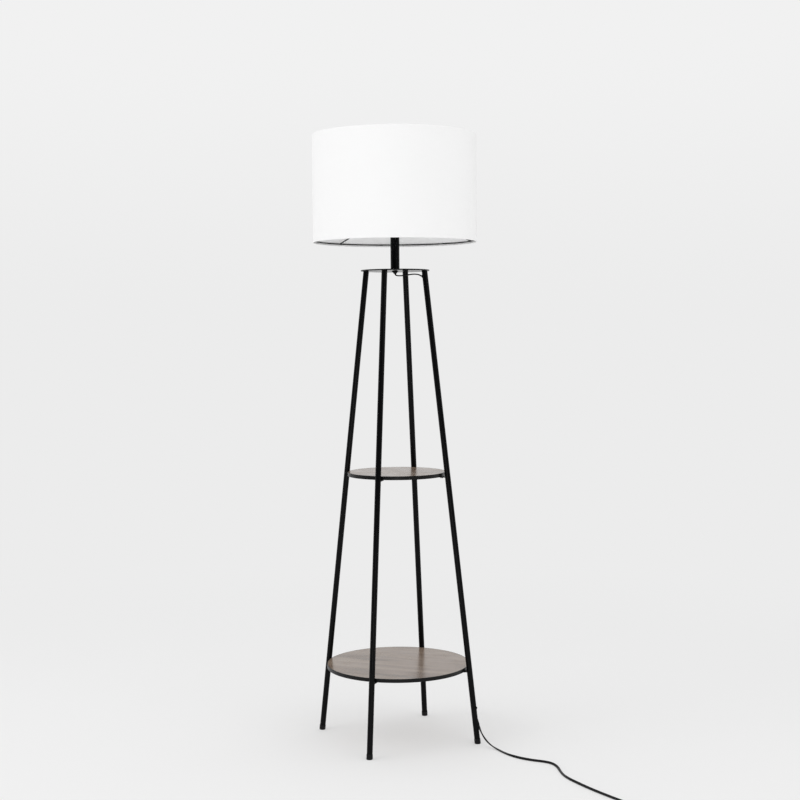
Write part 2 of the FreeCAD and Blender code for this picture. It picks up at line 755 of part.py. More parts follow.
def make_shade():
    """Drum shade: fabric turned in over a stiff liner and held by a wire ring at each end."""
    outer = s.shade_radius
    wall = outer - s.fabric_thickness
    liner = wall - s.liner_thickness
    hem = liner - s.fabric_thickness
    top = s.shade_height
    fabric = turned("shade_fabric", [
        (hem, 0), (outer, 0), (outer, top), (hem, top), (hem, top - s.hem_height),
        (liner, top - s.hem_height), (liner, top - s.fabric_thickness),
        (wall, top - s.fabric_thickness), (wall, s.fabric_thickness),
        (liner, s.fabric_thickness), (liner, s.hem_height), (hem, s.hem_height)],
        z=s.shade_bottom)
    piece(fabric, "shade_fabric")
    piece(tube(wall, liner, top - 2 * s.fabric_thickness, s.shade_bottom + s.fabric_thickness),
          "shade_liner")
    start = s.seam_place - s.seam_angle / 2
    strip = cylinder(outer + s.seam_thickness, top, z=s.shade_bottom, angle=start)
    bind(strip, Angle=s.seam_angle)
    piece(cut(strip, cylinder(outer, top, z=s.shade_bottom)), "shade_seam")

    wire = s.wire_diameter / 2
    ring_radius = hem - wire - s.ring_clearance
    high_ring = doc.addObject("Part::Torus", "top_ring")
    bind(high_ring, Radius1=ring_radius, Radius2=wire)
    piece(put(high_ring, z=s.shade_bottom + top - s.ring_inset), "shade_top_ring")

    low_ring = doc.addObject("Part::Torus", "low_ring")
    bind(low_ring, Radius1=ring_radius, Radius2=wire)
    ring_height = s.shade_bottom + s.ring_inset
    piece(put(low_ring, z=ring_height), "shade_bottom_ring")
    make_shade_arms(low_ring, ring_radius, ring_height)


def make_shade_arms(low_ring, ring_radius, ring_height):
    """The shade's flat fitter ring and the wire arms welded between it and the bottom ring."""
    wire = s.wire_diameter / 2
    arm_top = fitter_low + s.fitter_thickness / 2
    arm_in = (s.fitter_inner_radius + s.fitter_outer_radius) / 2
    run = ring_radius - arm_in
    drop = arm_top - ring_height
    arm_length = length_of(run, drop)
    slope = as_size(90) + atan(drop / run)
    arms = []
    for number in range(ARM_COUNT):
        arm = cylinder(wire, arm_length, x=arm_in, z=arm_top, axis=Vector(0, 1, 0), angle=slope)
        arms.append(turned_about_stem(group(arm), s.arm_place.value + 360 * number / ARM_COUNT))
    fitter = tube(s.fitter_outer_radius, s.fitter_inner_radius, s.fitter_thickness, fitter_low)
    piece(fitter, "shade_fitter")
    bore = cylinder(s.fitter_inner_radius, 6 * s.fitter_thickness,
                    z=fitter_low - 3 * s.fitter_thickness)
    above = cylinder(s.fitter_outer_radius, 3 * s.fitter_thickness, z=fitter_high)
    below = cylinder(s.holder_flange_radius + s.fitter_flange_clearance, 3 * s.fitter_thickness,
                     z=fitter_low - 3 * s.fitter_thickness)
    piece(cut(group(*arms), low_ring, fitter, bore, above, below), "shade_arms")


def make_shade_collar():
    """Grooved ring that screws down over the shade's fitter."""
    bore = s.holder_thread_radius + s.collar_thread_clearance
    body = turned("shade_collar", [
        (bore, 0), (s.collar_flange_radius, 0), (s.collar_flange_radius, s.collar_flange),
        (s.collar_radius, s.collar_flange), (s.collar_radius, s.collar_height),
        (bore, s.collar_height)], z=fitter_high)
    groove = new_sketch(body, "XY_Plane", "groove")
    draw_circle(groove, s.collar_groove_radius, s.collar_flange_radius)
    repeat_round(body, pocket_up(body, groove, s.collar_flange), SIZES["collar_grooves"])
    piece(body, "shade_collar")


# ---------------------------------------------------------------------------- mains lead

def rounded_route(points):
    """Straight runs through the points, joined by the largest tangent arcs the runs allow."""
    edges, radii = [], []
    start = points[0]
    for before, corner, after in zip(points, points[1:], points[2:]):
        back = (before - corner).normalize()
        ahead = (after - corner).normalize()
        half_turn = (math.pi - back.getAngle(ahead)) / 2
        reach = 0.45 * min((before - corner).Length, (after - corner).Length)
        radius = reach / math.tan(half_turn)
        enter, leave = corner + back * reach, corner + ahead * reach
        inward = (back + ahead).normalize()
        centre = corner + inward * (radius / math.cos(half_turn))
        middle = centre - inward * radius
        edges.append(Part.LineSegment(start, enter).toShape())
        edges.append(Part.Arc(enter, middle, leave).toShape())
        radii.append(radius)
        start = leave
    edges.append(Part.LineSegment(start, points[-1]).toShape())
    return Part.Wire(edges), radii


def add_lead(label, wire):
    """A round lead swept along a wire."""
    first = wire.OrderedEdges[0]
    heading = first.tangentAt(first.FirstParameter)
    section = Part.Wire(Part.Circle(first.valueAt(first.FirstParameter), heading,
                                    cord_radius.value).toShape())
    solid = wire.makePipeShell([section], True, False)
    expected = math.pi * cord_radius.value ** 2 * wire.Length
    print(f"{label}: length {wire.Length:.1f}, volume off by {solid.Volume / expected - 1:.5f}")
    obj = doc.addObject("Part::Feature", label)
    obj.Shape = solid
    return piece(obj, label)


def add_routed_lead(label, start, leaving, points, end, arriving):
    """A lead through points that leaves its start and meets its end squarely."""
    middle = [Vector(*point) for point in points]
    wire, radii = rounded_route([start, start + leaving * LEAD_GUIDE, *middle,
                                 end - arriving * LEAD_GUIDE, end])
    print(f"{label}: radii " + ", ".join(f"{radius:.1f}" for radius in radii))
    return add_lead(label, wire)


def arc_from(start, heading, end):
    """The arc that leaves start along heading and arrives at end."""
    chord = end - start
    half_turn = heading.getAngle(chord)
    if half_turn < 1e-7:
        return Part.LineSegment(start, end).toShape()
    along = Vector(chord).normalize()
    side = (heading - along * heading.dot(along)).normalize()
    middle = (start + end) / 2 + side * (chord.Length / 2 * math.tan(half_turn / 2))
    return Part.Arc(start, middle, end).toShape()


def biarc(start, heading, end, end_heading):
    """Two tangent arcs from one point and direction to another."""
    chord = end - start
    both = heading + end_heading
    a = 4 - both.dot(both)
    b = 2 * chord.dot(both)
    c = -chord.dot(chord)
    reach = (-b + math.sqrt(b * b - 4 * a * c)) / (2 * a) if a > 1e-9 else -c / b
    joint = (start + heading * reach + end - end_heading * reach) / 2
    first = arc_from(start, heading, joint)
    return first, arc_from(joint, first.tangentAt(first.LastParameter), end)


def coil_place(turn):
    """A point of the coil's centre line after a number of turns, from the outside in and out."""
    radius_in = SIZES["coil_radius"] - SIZES["coil_pitch"] * COIL_TURNS_PER_LAYER
    climb_from = COIL_TURNS_PER_LAYER
    climb_to = COIL_TURNS_PER_LAYER + 0.5
    if turn <= climb_from:
        radius = SIZES["coil_radius"] - SIZES["coil_pitch"] * turn
        rise = 0.0
    elif turn >= climb_to:
        radius = radius_in + SIZES["coil_pitch"] * (turn - climb_to)
        rise = 1.0
    else:
        radius = radius_in
        rise = 0.5 - 0.5 * math.cos(math.pi * (turn - climb_from) / (climb_to - climb_from))
    angle = math.radians(COIL_START_ANGLE) - 2 * math.pi * turn
    return Vector(COIL_CENTRE[0] + radius * math.cos(angle),
                  COIL_CENTRE[1] + radius * math.sin(angle),
                  SIZES["coil_low"] + SIZES["coil_layer"] * rise)


def coil_turns():
    return 2 * COIL_TURNS_PER_LAYER + 0.5


def coil_heading(turn):
    step = 1e-4
    return (coil_place(turn + step) - coil_place(turn - step)).normalize()


def coil_ends():
    """Where the coil starts and ends, a straight stretch of one diameter past its turns."""
    last = coil_turns()
    straight = cord_radius.value * 2
    return (coil_place(0) - coil_heading(0) * straight,
            coil_place(last) + coil_heading(last) * straight)


def make_coil():
    """The put-away length, wound in two layers as one unbroken tube."""
    last = coil_turns()
    steps = round(last * 4)
    start, end = coil_ends()
    edges = [Part.LineSegment(start, coil_place(0)).toShape()]
    for step in range(steps):
        turn, following = step / 4, (step + 1) / 4
        edges.extend(biarc(coil_place(turn), coil_heading(turn),
                           coil_place(following), coil_heading(following)))
    edges.append(Part.LineSegment(coil_place(last), end).toShape())
    wire = Part.Wire(edges)
    tightest = min(edge.Curve.Radius for edge in edges if hasattr(edge.Curve, "Radius"))
    print(f"cord_coil: tightest radius {tightest:.1f}")
    samples = [coil_place(last * i / 400) for i in range(401)]
    along = wire.Length / 400
    apart = round(3 * s.cord_diameter.value / along)
    nearest = min((a - b).Length for i, a in enumerate(samples) for b in samples[i + apart:])
    print(f"cord_coil: least gap between turns {nearest - s.cord_diameter.value:.2f}")
    return add_lead("cord_coil", wire)


def make_tie():
    """Soft band round the coil, on the side away from the lead's two ends."""
    radius_in = s.coil_radius - s.coil_pitch * COIL_TURNS_PER_LAYER
    margin = cord_radius + s.tie_clearance
    near = radius_in - margin
    far = s.coil_radius + margin
    low = s.coil_low - margin
    high = s.coil_low + s.coil_layer + margin
    wall = s.tie_thickness
    outer = box(far - near + 2 * wall, s.tie_width, high - low + 2 * wall,
                x=near - wall, y=-s.tie_width / 2, z=low - wall)
    inner = box(far - near, s.tie_width, high - low, x=near, y=-s.tie_width / 2, z=low)
    band = cut(round_band(outer, wall * 2), round_band(inner, wall))
    angle = COIL_START_ANGLE + 180
    band.Placement = FreeCAD.Placement(Vector(*COIL_CENTRE, 0), FreeCAD.Rotation(UP, angle))
    piece(band, "cord_tie")


def round_band(block, radius):
    """Round the long edges of a band's block."""
    return round_edges(block, radius, lambda edge: abs(
        (edge.Vertexes[1].Point - edge.Vertexes[0].Point).normalize().y) > 0.999)


def make_plug():
    """Flat two-pin plug lying beside the coil."""
    body = new_body("plug_body")
    sketch = new_sketch(body, "XY_Plane", "outline")
    half, neck, length = s.plug_width / 2, s.plug_neck / 2, s.plug_length
    corners = [(0, half - neck), (s.plug_shoulder, 0), (length, 0), (length, 2 * half),
               (s.plug_shoulder, 2 * half), (0, half + neck)]
    draw_outline(sketch, corners)
    pad(body, sketch, s.plug_thickness)
    doc.recompute()
    block = body.Tip
    rounding = body.newObject("PartDesign::Fillet", "soft_edges")
    rounding.Base = (block, [f"Edge{i}" for i in range(1, len(block.Shape.Edges) + 1)])
    bind(rounding, Radius=s.plug_round)
    turn = FreeCAD.Rotation(UP, PLUG_HEADING)
    corner = Vector(*PLUG_PLACE, 0) + turn.multVec(Vector(0, -half.value, 0))
    body.Placement = FreeCAD.Placement(corner, turn)
    piece(body, "plug_body")
    pins = []
    for side in (-1, 1):
        pin = cylinder(s.pin_diameter / 2, s.pin_length, x=length, y=s.pin_spacing / 2 * side,
                       z=s.plug_thickness / 2, axis=Vector(0, 1, 0), angle=90)
        tip = (s.plug_length + s.pin_length).value
        doc.recompute()
        pins.append(round_edges(pin, s.pin_tip_round,
                                lambda edge: edge.BoundBox.XMin > tip - 1e-6))
    pair = group(*pins)
    pair.Placement = FreeCAD.Placement(Vector(*PLUG_PLACE, 0), turn)
    piece(pair, "plug_pins")


def make_leads():
    """The mains lead, from the lampholder to the plug, and what guides it."""
    core_foot = holder_foot + s.core_low
    bridge_start = s.plate_height - s.rod_nut_thickness - s.stem_lead_end
    upper = cylinder(cord_radius, core_foot - bridge_start, z=bridge_start)
    piece(upper, "cord_in_stem")

    flange = cut(entry_bar(s.grommet_radius, as_size(0), leg_radius + s.grommet_flange),
                 along_leg(leg_radius, entry_height - 4 * leg_radius, s.plate_height))
    neck = entry_bar(s.entry_hole_radius, leg_bore, leg_radius + s.grommet_flange)
    piece(cut(fuse(flange, neck), entry_bar(cord_bore, as_size(0), leg_radius + TRIM)),
          "cord_entry_grommet")
    inside = s.sleeve_length - s.sleeve_beyond
    piece(cut(exit_bar(s.sleeve_radius, inside, s.sleeve_beyond),
              exit_bar(cord_bore, s.sleeve_length, s.sleeve_length)), "cord_exit_sleeve")

    lean = FreeCAD.Rotation(Vector(0, -1, 0), splay.value)
    out, along = lean.multVec(Vector(1, 0, 0)), lean.multVec(UP)
    entry = Vector(leg_at(entry_height).value, 0, entry_height.value)
    way_in = entry - out * (leg_radius + s.grommet_flange).value
    tilt = math.radians(s.exit_tilt.value)
    way_out = Vector(math.sin(tilt), 0, -math.cos(tilt))
    gate = Vector(exit_point().value, 0, s.exit_height.value)
    leave = gate + way_out * s.sleeve_beyond.value
    bend = gate - way_out * (leg_radius.value / math.sin(tilt - math.radians(splay.value)))
    under_bushing = Vector(0, 0, bridge_start.value)
    add_routed_lead("cord_under_plate", under_bushing, -UP, BRIDGE_ROUTE, way_in, out)
    turn_from = entry - out * s.leg_turn_short.value
    turn_to = entry + out * s.leg_turn_beyond.value - along * s.leg_turn_drop.value
    wire, radii = rounded_route([way_in, turn_from, turn_to, bend, leave])
    print("cord_in_leg: radii " + ", ".join(f"{radius:.1f}" for radius in radii))
    add_lead("cord_in_leg", wire)
    coil_start, coil_end = coil_ends()
    add_routed_lead("cord_on_floor", leave, way_out, FLOOR_ROUTE, coil_start, coil_heading(0))
    make_coil()
    plug_entry = Vector(*PLUG_PLACE, s.plug_thickness.value / 2)
    plug_way = FreeCAD.Rotation(UP, PLUG_HEADING).multVec(Vector(1, 0, 0))
    add_routed_lead("cord_to_plug", coil_end, coil_heading(coil_turns()), LEAD_ROUTE,
                    plug_entry, plug_way)
    make_tie()
    make_plug()


# ---------------------------------------------------------------------------- build and write

def build():
    make_top_plate()
    for side, turn in SIDES:
        make_upper_leg(side, turn)
        make_lower_leg(side, turn)
        make_foot(side, turn)
    make_leg_fittings()
    make_shelf("middle_shelf", s.middle_shelf_top, s.middle_shelf_gap)
    make_shelf("lower_shelf", s.lower_shelf_top, s.lower_shelf_gap)
    make_stem()
    make_holder()
    make_switch()
    make_bulb()
    make_shade()
    make_shade_collar()
    make_leads()
    doc.recompute()


def check_and_write():
    failed = [obj.Label for obj in doc.Objects if {"Invalid", "Error"} & set(obj.State)]
    if failed:
        raise RuntimeError("not built: " + ", ".join(failed))
    for obj in PIECES:
        if obj.Shape.isNull() or not obj.Shape.isValid() or not obj.Shape.Solids:
            raise RuntimeError(f"{obj.Label}: no valid solid")
    os.makedirs("parts", exist_ok=True)
    for obj in PIECES:
        obj.Shape.exportStep(f"parts/{obj.Label}.step")
        print(f"{obj.Label}: {len(obj.Shape.Solids)} solid(s), {obj.Shape.Volume:.0f} mm3")


build()
check_and_write()
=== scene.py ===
"""Shelf floor lamp: finishes, the shade's cloth, the flat mains lead and its plug, a pale studio.

Metres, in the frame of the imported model: +Z up, the origin on the floor under the stem.
"""

import json
import math

import bpy
from mathutils import Matrix, Vector


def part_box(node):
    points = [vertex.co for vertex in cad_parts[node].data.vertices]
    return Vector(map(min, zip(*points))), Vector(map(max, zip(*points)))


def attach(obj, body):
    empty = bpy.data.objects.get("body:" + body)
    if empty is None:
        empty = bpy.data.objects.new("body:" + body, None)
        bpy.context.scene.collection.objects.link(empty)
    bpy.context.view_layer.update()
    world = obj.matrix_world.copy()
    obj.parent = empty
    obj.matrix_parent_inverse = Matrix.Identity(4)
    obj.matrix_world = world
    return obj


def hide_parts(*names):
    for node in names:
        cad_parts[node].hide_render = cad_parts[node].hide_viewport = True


bl_info = {
    "name": "Shelf Floor Lamp",
    "version": (1, 0, 0),
    "blender": (4, 5, 0),
    "location": "View3D > Sidebar > Lamp",
    "description": "Dresses a floor lamp with two shelves and a drum shade",
    "category": "Object",
}

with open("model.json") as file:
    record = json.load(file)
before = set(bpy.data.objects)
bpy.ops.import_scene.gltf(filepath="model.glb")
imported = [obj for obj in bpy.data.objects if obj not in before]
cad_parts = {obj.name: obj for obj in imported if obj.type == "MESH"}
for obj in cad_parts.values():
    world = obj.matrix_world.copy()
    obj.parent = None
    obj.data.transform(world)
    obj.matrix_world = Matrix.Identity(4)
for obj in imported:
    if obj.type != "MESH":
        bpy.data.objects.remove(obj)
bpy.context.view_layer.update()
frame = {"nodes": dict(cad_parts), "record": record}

MM = 0.001
UP = Vector((0, 0, 1))

# The legs: how far their axes stand from the stem's at the floor and at the plate.
LEG_FOOT = 0.20475
LEG_TOP = 0.0758
PLATE_HEIGHT = 1.1523
LEG_RADIUS = 0.007
LEG_LEAN = math.atan((LEG_FOOT - LEG_TOP) / PLATE_HEIGHT)
LEG_UP = Vector((-math.sin(LEG_LEAN), 0, math.cos(LEG_LEAN)))        # along the right leg
LEG_OUT = Vector((math.cos(LEG_LEAN), 0, math.sin(LEG_LEAN)))        # square to it, outwards

# What the lead passes on the right leg, and the screw head above its way out.
WAY_IN = Vector((0.069503, 0, 1.138433))
WAY_OUT = Vector((0.20637, 0, 0.0485))
WAY_OUT_TILT = math.radians(18)        # from straight down
CLAMP_HEIGHT = 0.0875
CLAMP_TURN = math.radians(-22)

# The leads' routes in metres, the same points as the solids' routes. The fourth number is the
# flat lead's roll in degrees: 0 lies flat, 90 stands on its edge.
BRIDGE_ROUTE = [
    (0, 0, 1.1488, 0), (0, 0, 1.1448, 0), (0.0034, 0, 1.1417, 0), (0.0105, 0, 1.1409, 0),
    (0.019, 0, 1.1412, 0), (0.030, 0, 1.1425, 0), (0.042, 0, 1.1440, 0), (0.053, 0, 1.1443, 0),
    (0.0620, 0, 1.1427, 0), (0.0664, 0, 1.1398, 0), (0.0712, 0, 1.1384, 0),
]
FLOOR_ROUTE = [
    (0.207143, 0, 0.046122, 0), (0.208379, 0, 0.042318, -12), (0.2129, -0.0039, 0.0338, -34),
    (0.2198, -0.0090, 0.0246, -60), (0.2294, -0.0152, 0.0154, -68), (0.2415, -0.0228, 0.0080, -52),
    (0.2555, -0.0318, 0.0038, -26), (0.271, -0.0445, 0.0023, -5), (0.288, -0.061, 0.0020, 5),
    (0.311, -0.0795, 0.0026, 30), (0.338, -0.094, 0.0032, 70), (0.368, -0.1015, 0.0032, 88),
    (0.397, -0.103, 0.0032, 90), (0.418, -0.111, 0.0032, 82), (0.435, -0.132, 0.0028, 40),
    (0.447, -0.159, 0.0021, 8), (0.461, -0.186, 0.0021, 12), (0.481, -0.212, 0.0028, 45),
    (0.506, -0.236, 0.0032, 70), (0.534, -0.261, 0.0032, 80), (0.564, -0.285, 0.0032, 88),
    (0.596, -0.309, 0.0032, 90), (0.624, -0.3295, 0.0033, 90), (0.650, -0.3486, 0.0036, 90),
]
PLUG_ROUTE = [(0.702, -0.3855, 0.0096, 60), (0.7143, -0.397, 0.0080, 15)]
CORD_WIDTH = 0.006
CORD_THICKNESS = 0.003
COIL_LEAD_IN = 0.0044        # straight stretch before the coil and after it
LEAD_GUIDE = 0.004           # one more past each, and before the plug, for straight joins

# The coil: wound inwards, up a layer and outwards again.
COIL_CENTRE = Vector((0.655, -0.4015, 0))
COIL_RADIUS = 0.041
COIL_PITCH = 0.0057
COIL_LAYER = 0.0066
COIL_LOW = 0.0039
COIL_START = math.radians(55)
TURNS_PER_LAYER = 2.25
CLIMB = 0.5                                  # turns that lead up a layer
COIL_TURNS = 2 * TURNS_PER_LAYER + CLIMB
POINTS_PER_TURN = 16

PLUG_PLACE = Vector((0.7195, -0.421, 0.0068))
PLUG_HEADING = math.radians(-84)
PLUG_LENGTH = 0.036
PLUG_SQUARE = 4
PIN_REACH = 0.0093           # from the plug's middle to each pin's

# The turn of the boards' grain in radians, and the place of the shade's seam in degrees.
GRAIN_TURN = -0.30
LAP_START = 109.5
LAP_ANGLE = 3
LAP_STEPS = 12


# ------------------------------------------------------------------------------ what a user changes

class LampSizes(bpy.types.PropertyGroup):
    thread_spacing: bpy.props.FloatProperty(
        name="Thread spacing", description="Distance between the shade cloth's threads",
        default=0.0014, min=0.0004, unit="LENGTH")
    grain_width: bpy.props.FloatProperty(
        name="Grain width", description="Width of the boards' wood grain",
        default=0.006, min=0.001, unit="LENGTH")
    powder_grain: bpy.props.FloatProperty(
        name="Powder grain", description="Size of the ripples in the powder coat",
        default=0.0012, min=0.0002, unit="LENGTH")


class LampColours(bpy.types.PropertyGroup):
    steel: bpy.props.StringProperty(
        name="Frame", description="Powder coat on the legs, plate and stem", default="#070708")
    cloth: bpy.props.StringProperty(
        name="Shade", description="Cotton of the drum shade", default="#F6F6F6")
    wood_light: bpy.props.StringProperty(
        name="Wood, light", description="Light grain of the boards", default="#908071")
    wood_dark: bpy.props.StringProperty(
        name="Wood, dark", description="Dark streaks of the boards", default="#625348")
    room: bpy.props.StringProperty(
        name="Backdrop", description="Backdrop behind the lamp", default="#F1F1F1")
    horizon: bpy.props.StringProperty(
        name="Far floor", description="Floor and backdrop where they meet", default="#ECECEC")


# ------------------------------------------------------------------------------------- materials

def linear(hex_colour):
    """An sRGB hex colour as linear RGBA."""
    parts = [int(hex_colour[i:i + 2], 16) / 255 for i in (1, 3, 5)]
    return (*[c / 12.92 if c <= 0.04045 else ((c + 0.055) / 1.055) ** 2.4 for c in parts], 1.0)


def node(material, kind, links=None, **settings):
    """Add a shader node, set its fields and sockets, and link sockets to other nodes' outputs."""
    made = material.node_tree.nodes.new(kind)
    for name, value in settings.items():
        socket = made.inputs.get(name.replace("_", " "))
        if socket is None:
            setattr(made, name, value)
        else:
            socket.default_value = value
    for name, source in (links or {}).items():
        material.node_tree.links.new(source, made.inputs[name])
    return made


def surface(name, **settings):
    """A new material and its Principled shader."""
    material = bpy.data.materials.new(name)
    material.use_nodes = True
    shader = material.node_tree.nodes["Principled BSDF"]
    for key, value in settings.items():
        shader.inputs[key.replace("_", " ")].default_value = value
    return material, shader


def connect(material, source, shader, socket):
    """Link a node's output to a socket of the shader."""
    material.node_tree.links.new(source, shader.inputs[socket])


def object_place(material):
    """Metres in the lamp's own frame, because every piece sits at the origin."""
    return node(material, "ShaderNodeTexCoord").outputs["Object"]


def fine_bump(material, shader, strength, distance, size=None, height=None):
    """Bumps as deep as the distance in metres, from noise of a real size or a given height."""
    if height is None:
        height = node(material, "ShaderNodeTexNoise", {"Vector": object_place(material)},
                      Scale=1 / size, Detail=2.0, Roughness=0.5).outputs["Fac"]
    bump = node(material, "ShaderNodeBump", {"Height": height}, Strength=strength,
                Distance=distance)
    connect(material, bump.outputs["Normal"], shader, "Normal")


def uneven_colour(material, shader, first, second, size):
    """Slow change between two close colours over patches of a real size."""
    patches = node(material, "ShaderNodeTexNoise", {"Vector": object_place(material)},
                   Scale=1 / size, Detail=3.0, Roughness=0.55)
    ramp = node(material, "ShaderNodeValToRGB", {"Fac": patches.outputs["Fac"]})
    ramp.color_ramp.elements[0].position = 0.35
    ramp.color_ramp.elements[0].color = linear(first)
    ramp.color_ramp.elements[1].position = 0.65
    ramp.color_ramp.elements[1].color = linear(second)
    connect(material, ramp.outputs["Color"], shader, "Base Color")


def uneven_roughness(material, shader, size, low, high):
    """Slow change in gloss over patches of a real size."""
    patches = node(material, "ShaderNodeTexNoise", {"Vector": object_place(material)},
                   Scale=1 / size, Detail=3.0)
    spread = node(material, "ShaderNodeMapRange", {"Value": patches.outputs["Fac"]},
                  From_Min=0.3, From_Max=0.7, To_Min=low, To_Max=high)
    connect(material, spread.outputs["Result"], shader, "Roughness")


def powder_coat(colours, sizes):
    """Polyester powder baked on steel tube: satin, with a faint ripple where the powder ran."""
    material, shader = surface("satin_powder_coat", IOR=1.5, Specular_IOR_Level=0.09)
    uneven_colour(material, shader, colours.steel, "#09090A", 0.05)
    uneven_roughness(material, shader, 0.03, 0.17, 0.25)
    fine_bump(material, shader, 0.25, 0.00006, size=sizes.powder_grain)
    return material


def moulded_plastic(name, first, second, roughness, grain=0.0006, shine=0.5):
    """Moulded or extruded polymer: the tool's fine grain breaks up the highlight."""
    material, shader = surface(name, IOR=1.49, Specular_IOR_Level=shine)
    uneven_colour(material, shader, first, second, 0.02)
    uneven_roughness(material, shader, 0.01, roughness - 0.05, roughness + 0.05)
    fine_bump(material, shader, 0.3, 0.00005, size=grain)
    return material


def bare_metal(name, first, second, roughness):
    """Plated or pressed metal: reflects sharply along faint drawing marks round its axis."""
    material, shader = surface(name, Metallic=1.0)
    uneven_colour(material, shader, first, second, 0.01)
    stretch = node(material, "ShaderNodeMapping", {"Vector": object_place(material)},
                   Scale=(60.0, 60.0, 4000.0))
    marks = node(material, "ShaderNodeTexNoise", {"Vector": stretch.outputs["Vector"]},
                 Scale=1.0, Detail=2.0)
    spread = node(material, "ShaderNodeMapRange", {"Value": marks.outputs["Fac"]},
                  To_Min=roughness - 0.06, To_Max=roughness + 0.1)
    connect(material, spread.outputs["Result"], shader, "Roughness")
    fine_bump(material, shader, 0.15, 0.00003, height=marks.outputs["Fac"])
    return material


def wood_laminate(colours, sizes):
    """Printed wood-grain melamine on chipboard: matt, long grain with darker cloudy streaks."""
    material, shader = surface("wood_grain_melamine", IOR=1.45)
    along = node(material, "ShaderNodeMapping", {"Vector": object_place(material)},
                 Scale=(4.0, 1 / sizes.grain_width / 4, 10.0), Rotation=(0, 0, GRAIN_TURN))
    grain = node(material, "ShaderNodeTexNoise", {"Vector": along.outputs["Vector"]},
                 Scale=1.0, Detail=6.0, Roughness=0.62, Distortion=0.5)
    broad = node(material, "ShaderNodeMapping", {"Vector": object_place(material)},
                 Scale=(3.0, 17.0, 10.0), Rotation=(0, 0, GRAIN_TURN))
    streaks = node(material, "ShaderNodeTexNoise", {"Vector": broad.outputs["Vector"]},
                   Scale=1.0, Detail=4.0, Roughness=0.6, Distortion=0.8)
    fine = node(material, "ShaderNodeMapping", {"Vector": object_place(material)},
                Scale=(12.0, 1 / sizes.grain_width * 5, 10.0), Rotation=(0, 0, GRAIN_TURN))
    pores = node(material, "ShaderNodeTexNoise", {"Vector": fine.outputs["Vector"]},
                 Scale=1.0, Detail=3.0, Roughness=0.7)
    both = node(material, "ShaderNodeMix",
                {"A": grain.outputs["Fac"], "B": streaks.outputs["Fac"]}, Factor=0.55)
    ramp = node(material, "ShaderNodeValToRGB", {"Fac": both.outputs["Result"]})
    ramp.color_ramp.elements[0].position = 0.36
    ramp.color_ramp.elements[0].color = linear(colours.wood_dark)
    ramp.color_ramp.elements[1].position = 0.62
    ramp.color_ramp.elements[1].color = linear(colours.wood_light)
    middle = ramp.color_ramp.elements.new(0.48)
    middle.color = linear("#7E6C5E")
    lines = node(material, "ShaderNodeMapRange", {"Value": pores.outputs["Fac"]},
                 From_Min=0.35, From_Max=0.6, To_Min=0.86, To_Max=1.0)
    toned = node(material, "ShaderNodeVectorMath",
                 {"Vector": ramp.outputs["Color"], "Scale": lines.outputs["Result"]},
                 operation="SCALE")
    connect(material, toned.outputs["Vector"], shader, "Base Color")
    uneven_roughness(material, shader, 0.04, 0.20, 0.28)
    fine_bump(material, shader, 0.2, 0.00005, height=pores.outputs["Fac"])
    return material


def woven_cotton(colours, sizes):
    """Plain-weave cotton on the shade, with warp and weft crossing. The real threads are about
    0.5 mm apart, drawn coarser so that they show."""
    material, shader = surface("woven_cotton", Roughness=0.95, Sheen_Weight=0.15,
                               Specular_IOR_Level=0.2)
    place = node(material, "ShaderNodeUVMap", uv_map="cloth").outputs["UV"]
    apart = node(material, "ShaderNodeSeparateXYZ", {"Vector": place})
    turns = 2 * math.pi / sizes.thread_spacing
    heights = []
    for axis in ("X", "Y"):
        phase = node(material, "ShaderNodeMath", {0: apart.outputs[axis]}, operation="MULTIPLY")
        phase.inputs[1].default_value = turns
        wave = node(material, "ShaderNodeMath", {0: phase.outputs[0]}, operation="SINE")
        heights.append(wave.outputs[0])
    over = node(material, "ShaderNodeMath", {0: heights[0], 1: heights[1]}, operation="MULTIPLY")
    slub_place = node(material, "ShaderNodeMapping", {"Vector": place}, Scale=(25.0, 700.0, 1.0))
    slubs = node(material, "ShaderNodeTexNoise", {"Vector": slub_place.outputs["Vector"]},
                 Scale=1.0, Detail=2.0)
    relief = node(material, "ShaderNodeMath", {0: over.outputs[0], 1: slubs.outputs["Fac"]},
                  operation="ADD")
    # The colour follows the relief. Painted shade darkens the weave's low places, where threads dip
    # under each other, to #F0F0F0. The slubs add a random change of tone.
    weave_shade_and_slubs = node(material, "ShaderNodeMapRange", {"Value": relief.outputs[0]},
                From_Min=-0.6, From_Max=1.6, To_Min=0.0, To_Max=1.0)
    ramp = node(material, "ShaderNodeValToRGB", {"Fac": weave_shade_and_slubs.outputs["Result"]})
    ramp.color_ramp.elements[0].color = linear("#F0F0F0")
    ramp.color_ramp.elements[1].color = linear(colours.cloth)
    connect(material, ramp.outputs["Color"], shader, "Base Color")
    fine_bump(material, shader, 0.3, 0.00012, height=relief.outputs[0])
    return material


def smooth_solid(name, colour, other, roughness, **settings):
    """A smooth, nearly even surface with a trace of unevenness in colour and gloss."""
    material, shader = surface(name, **settings)
    uneven_colour(material, shader, colour, other, 0.02)
    uneven_roughness(material, shader, 0.015, roughness - 0.03, roughness + 0.04)
    return material


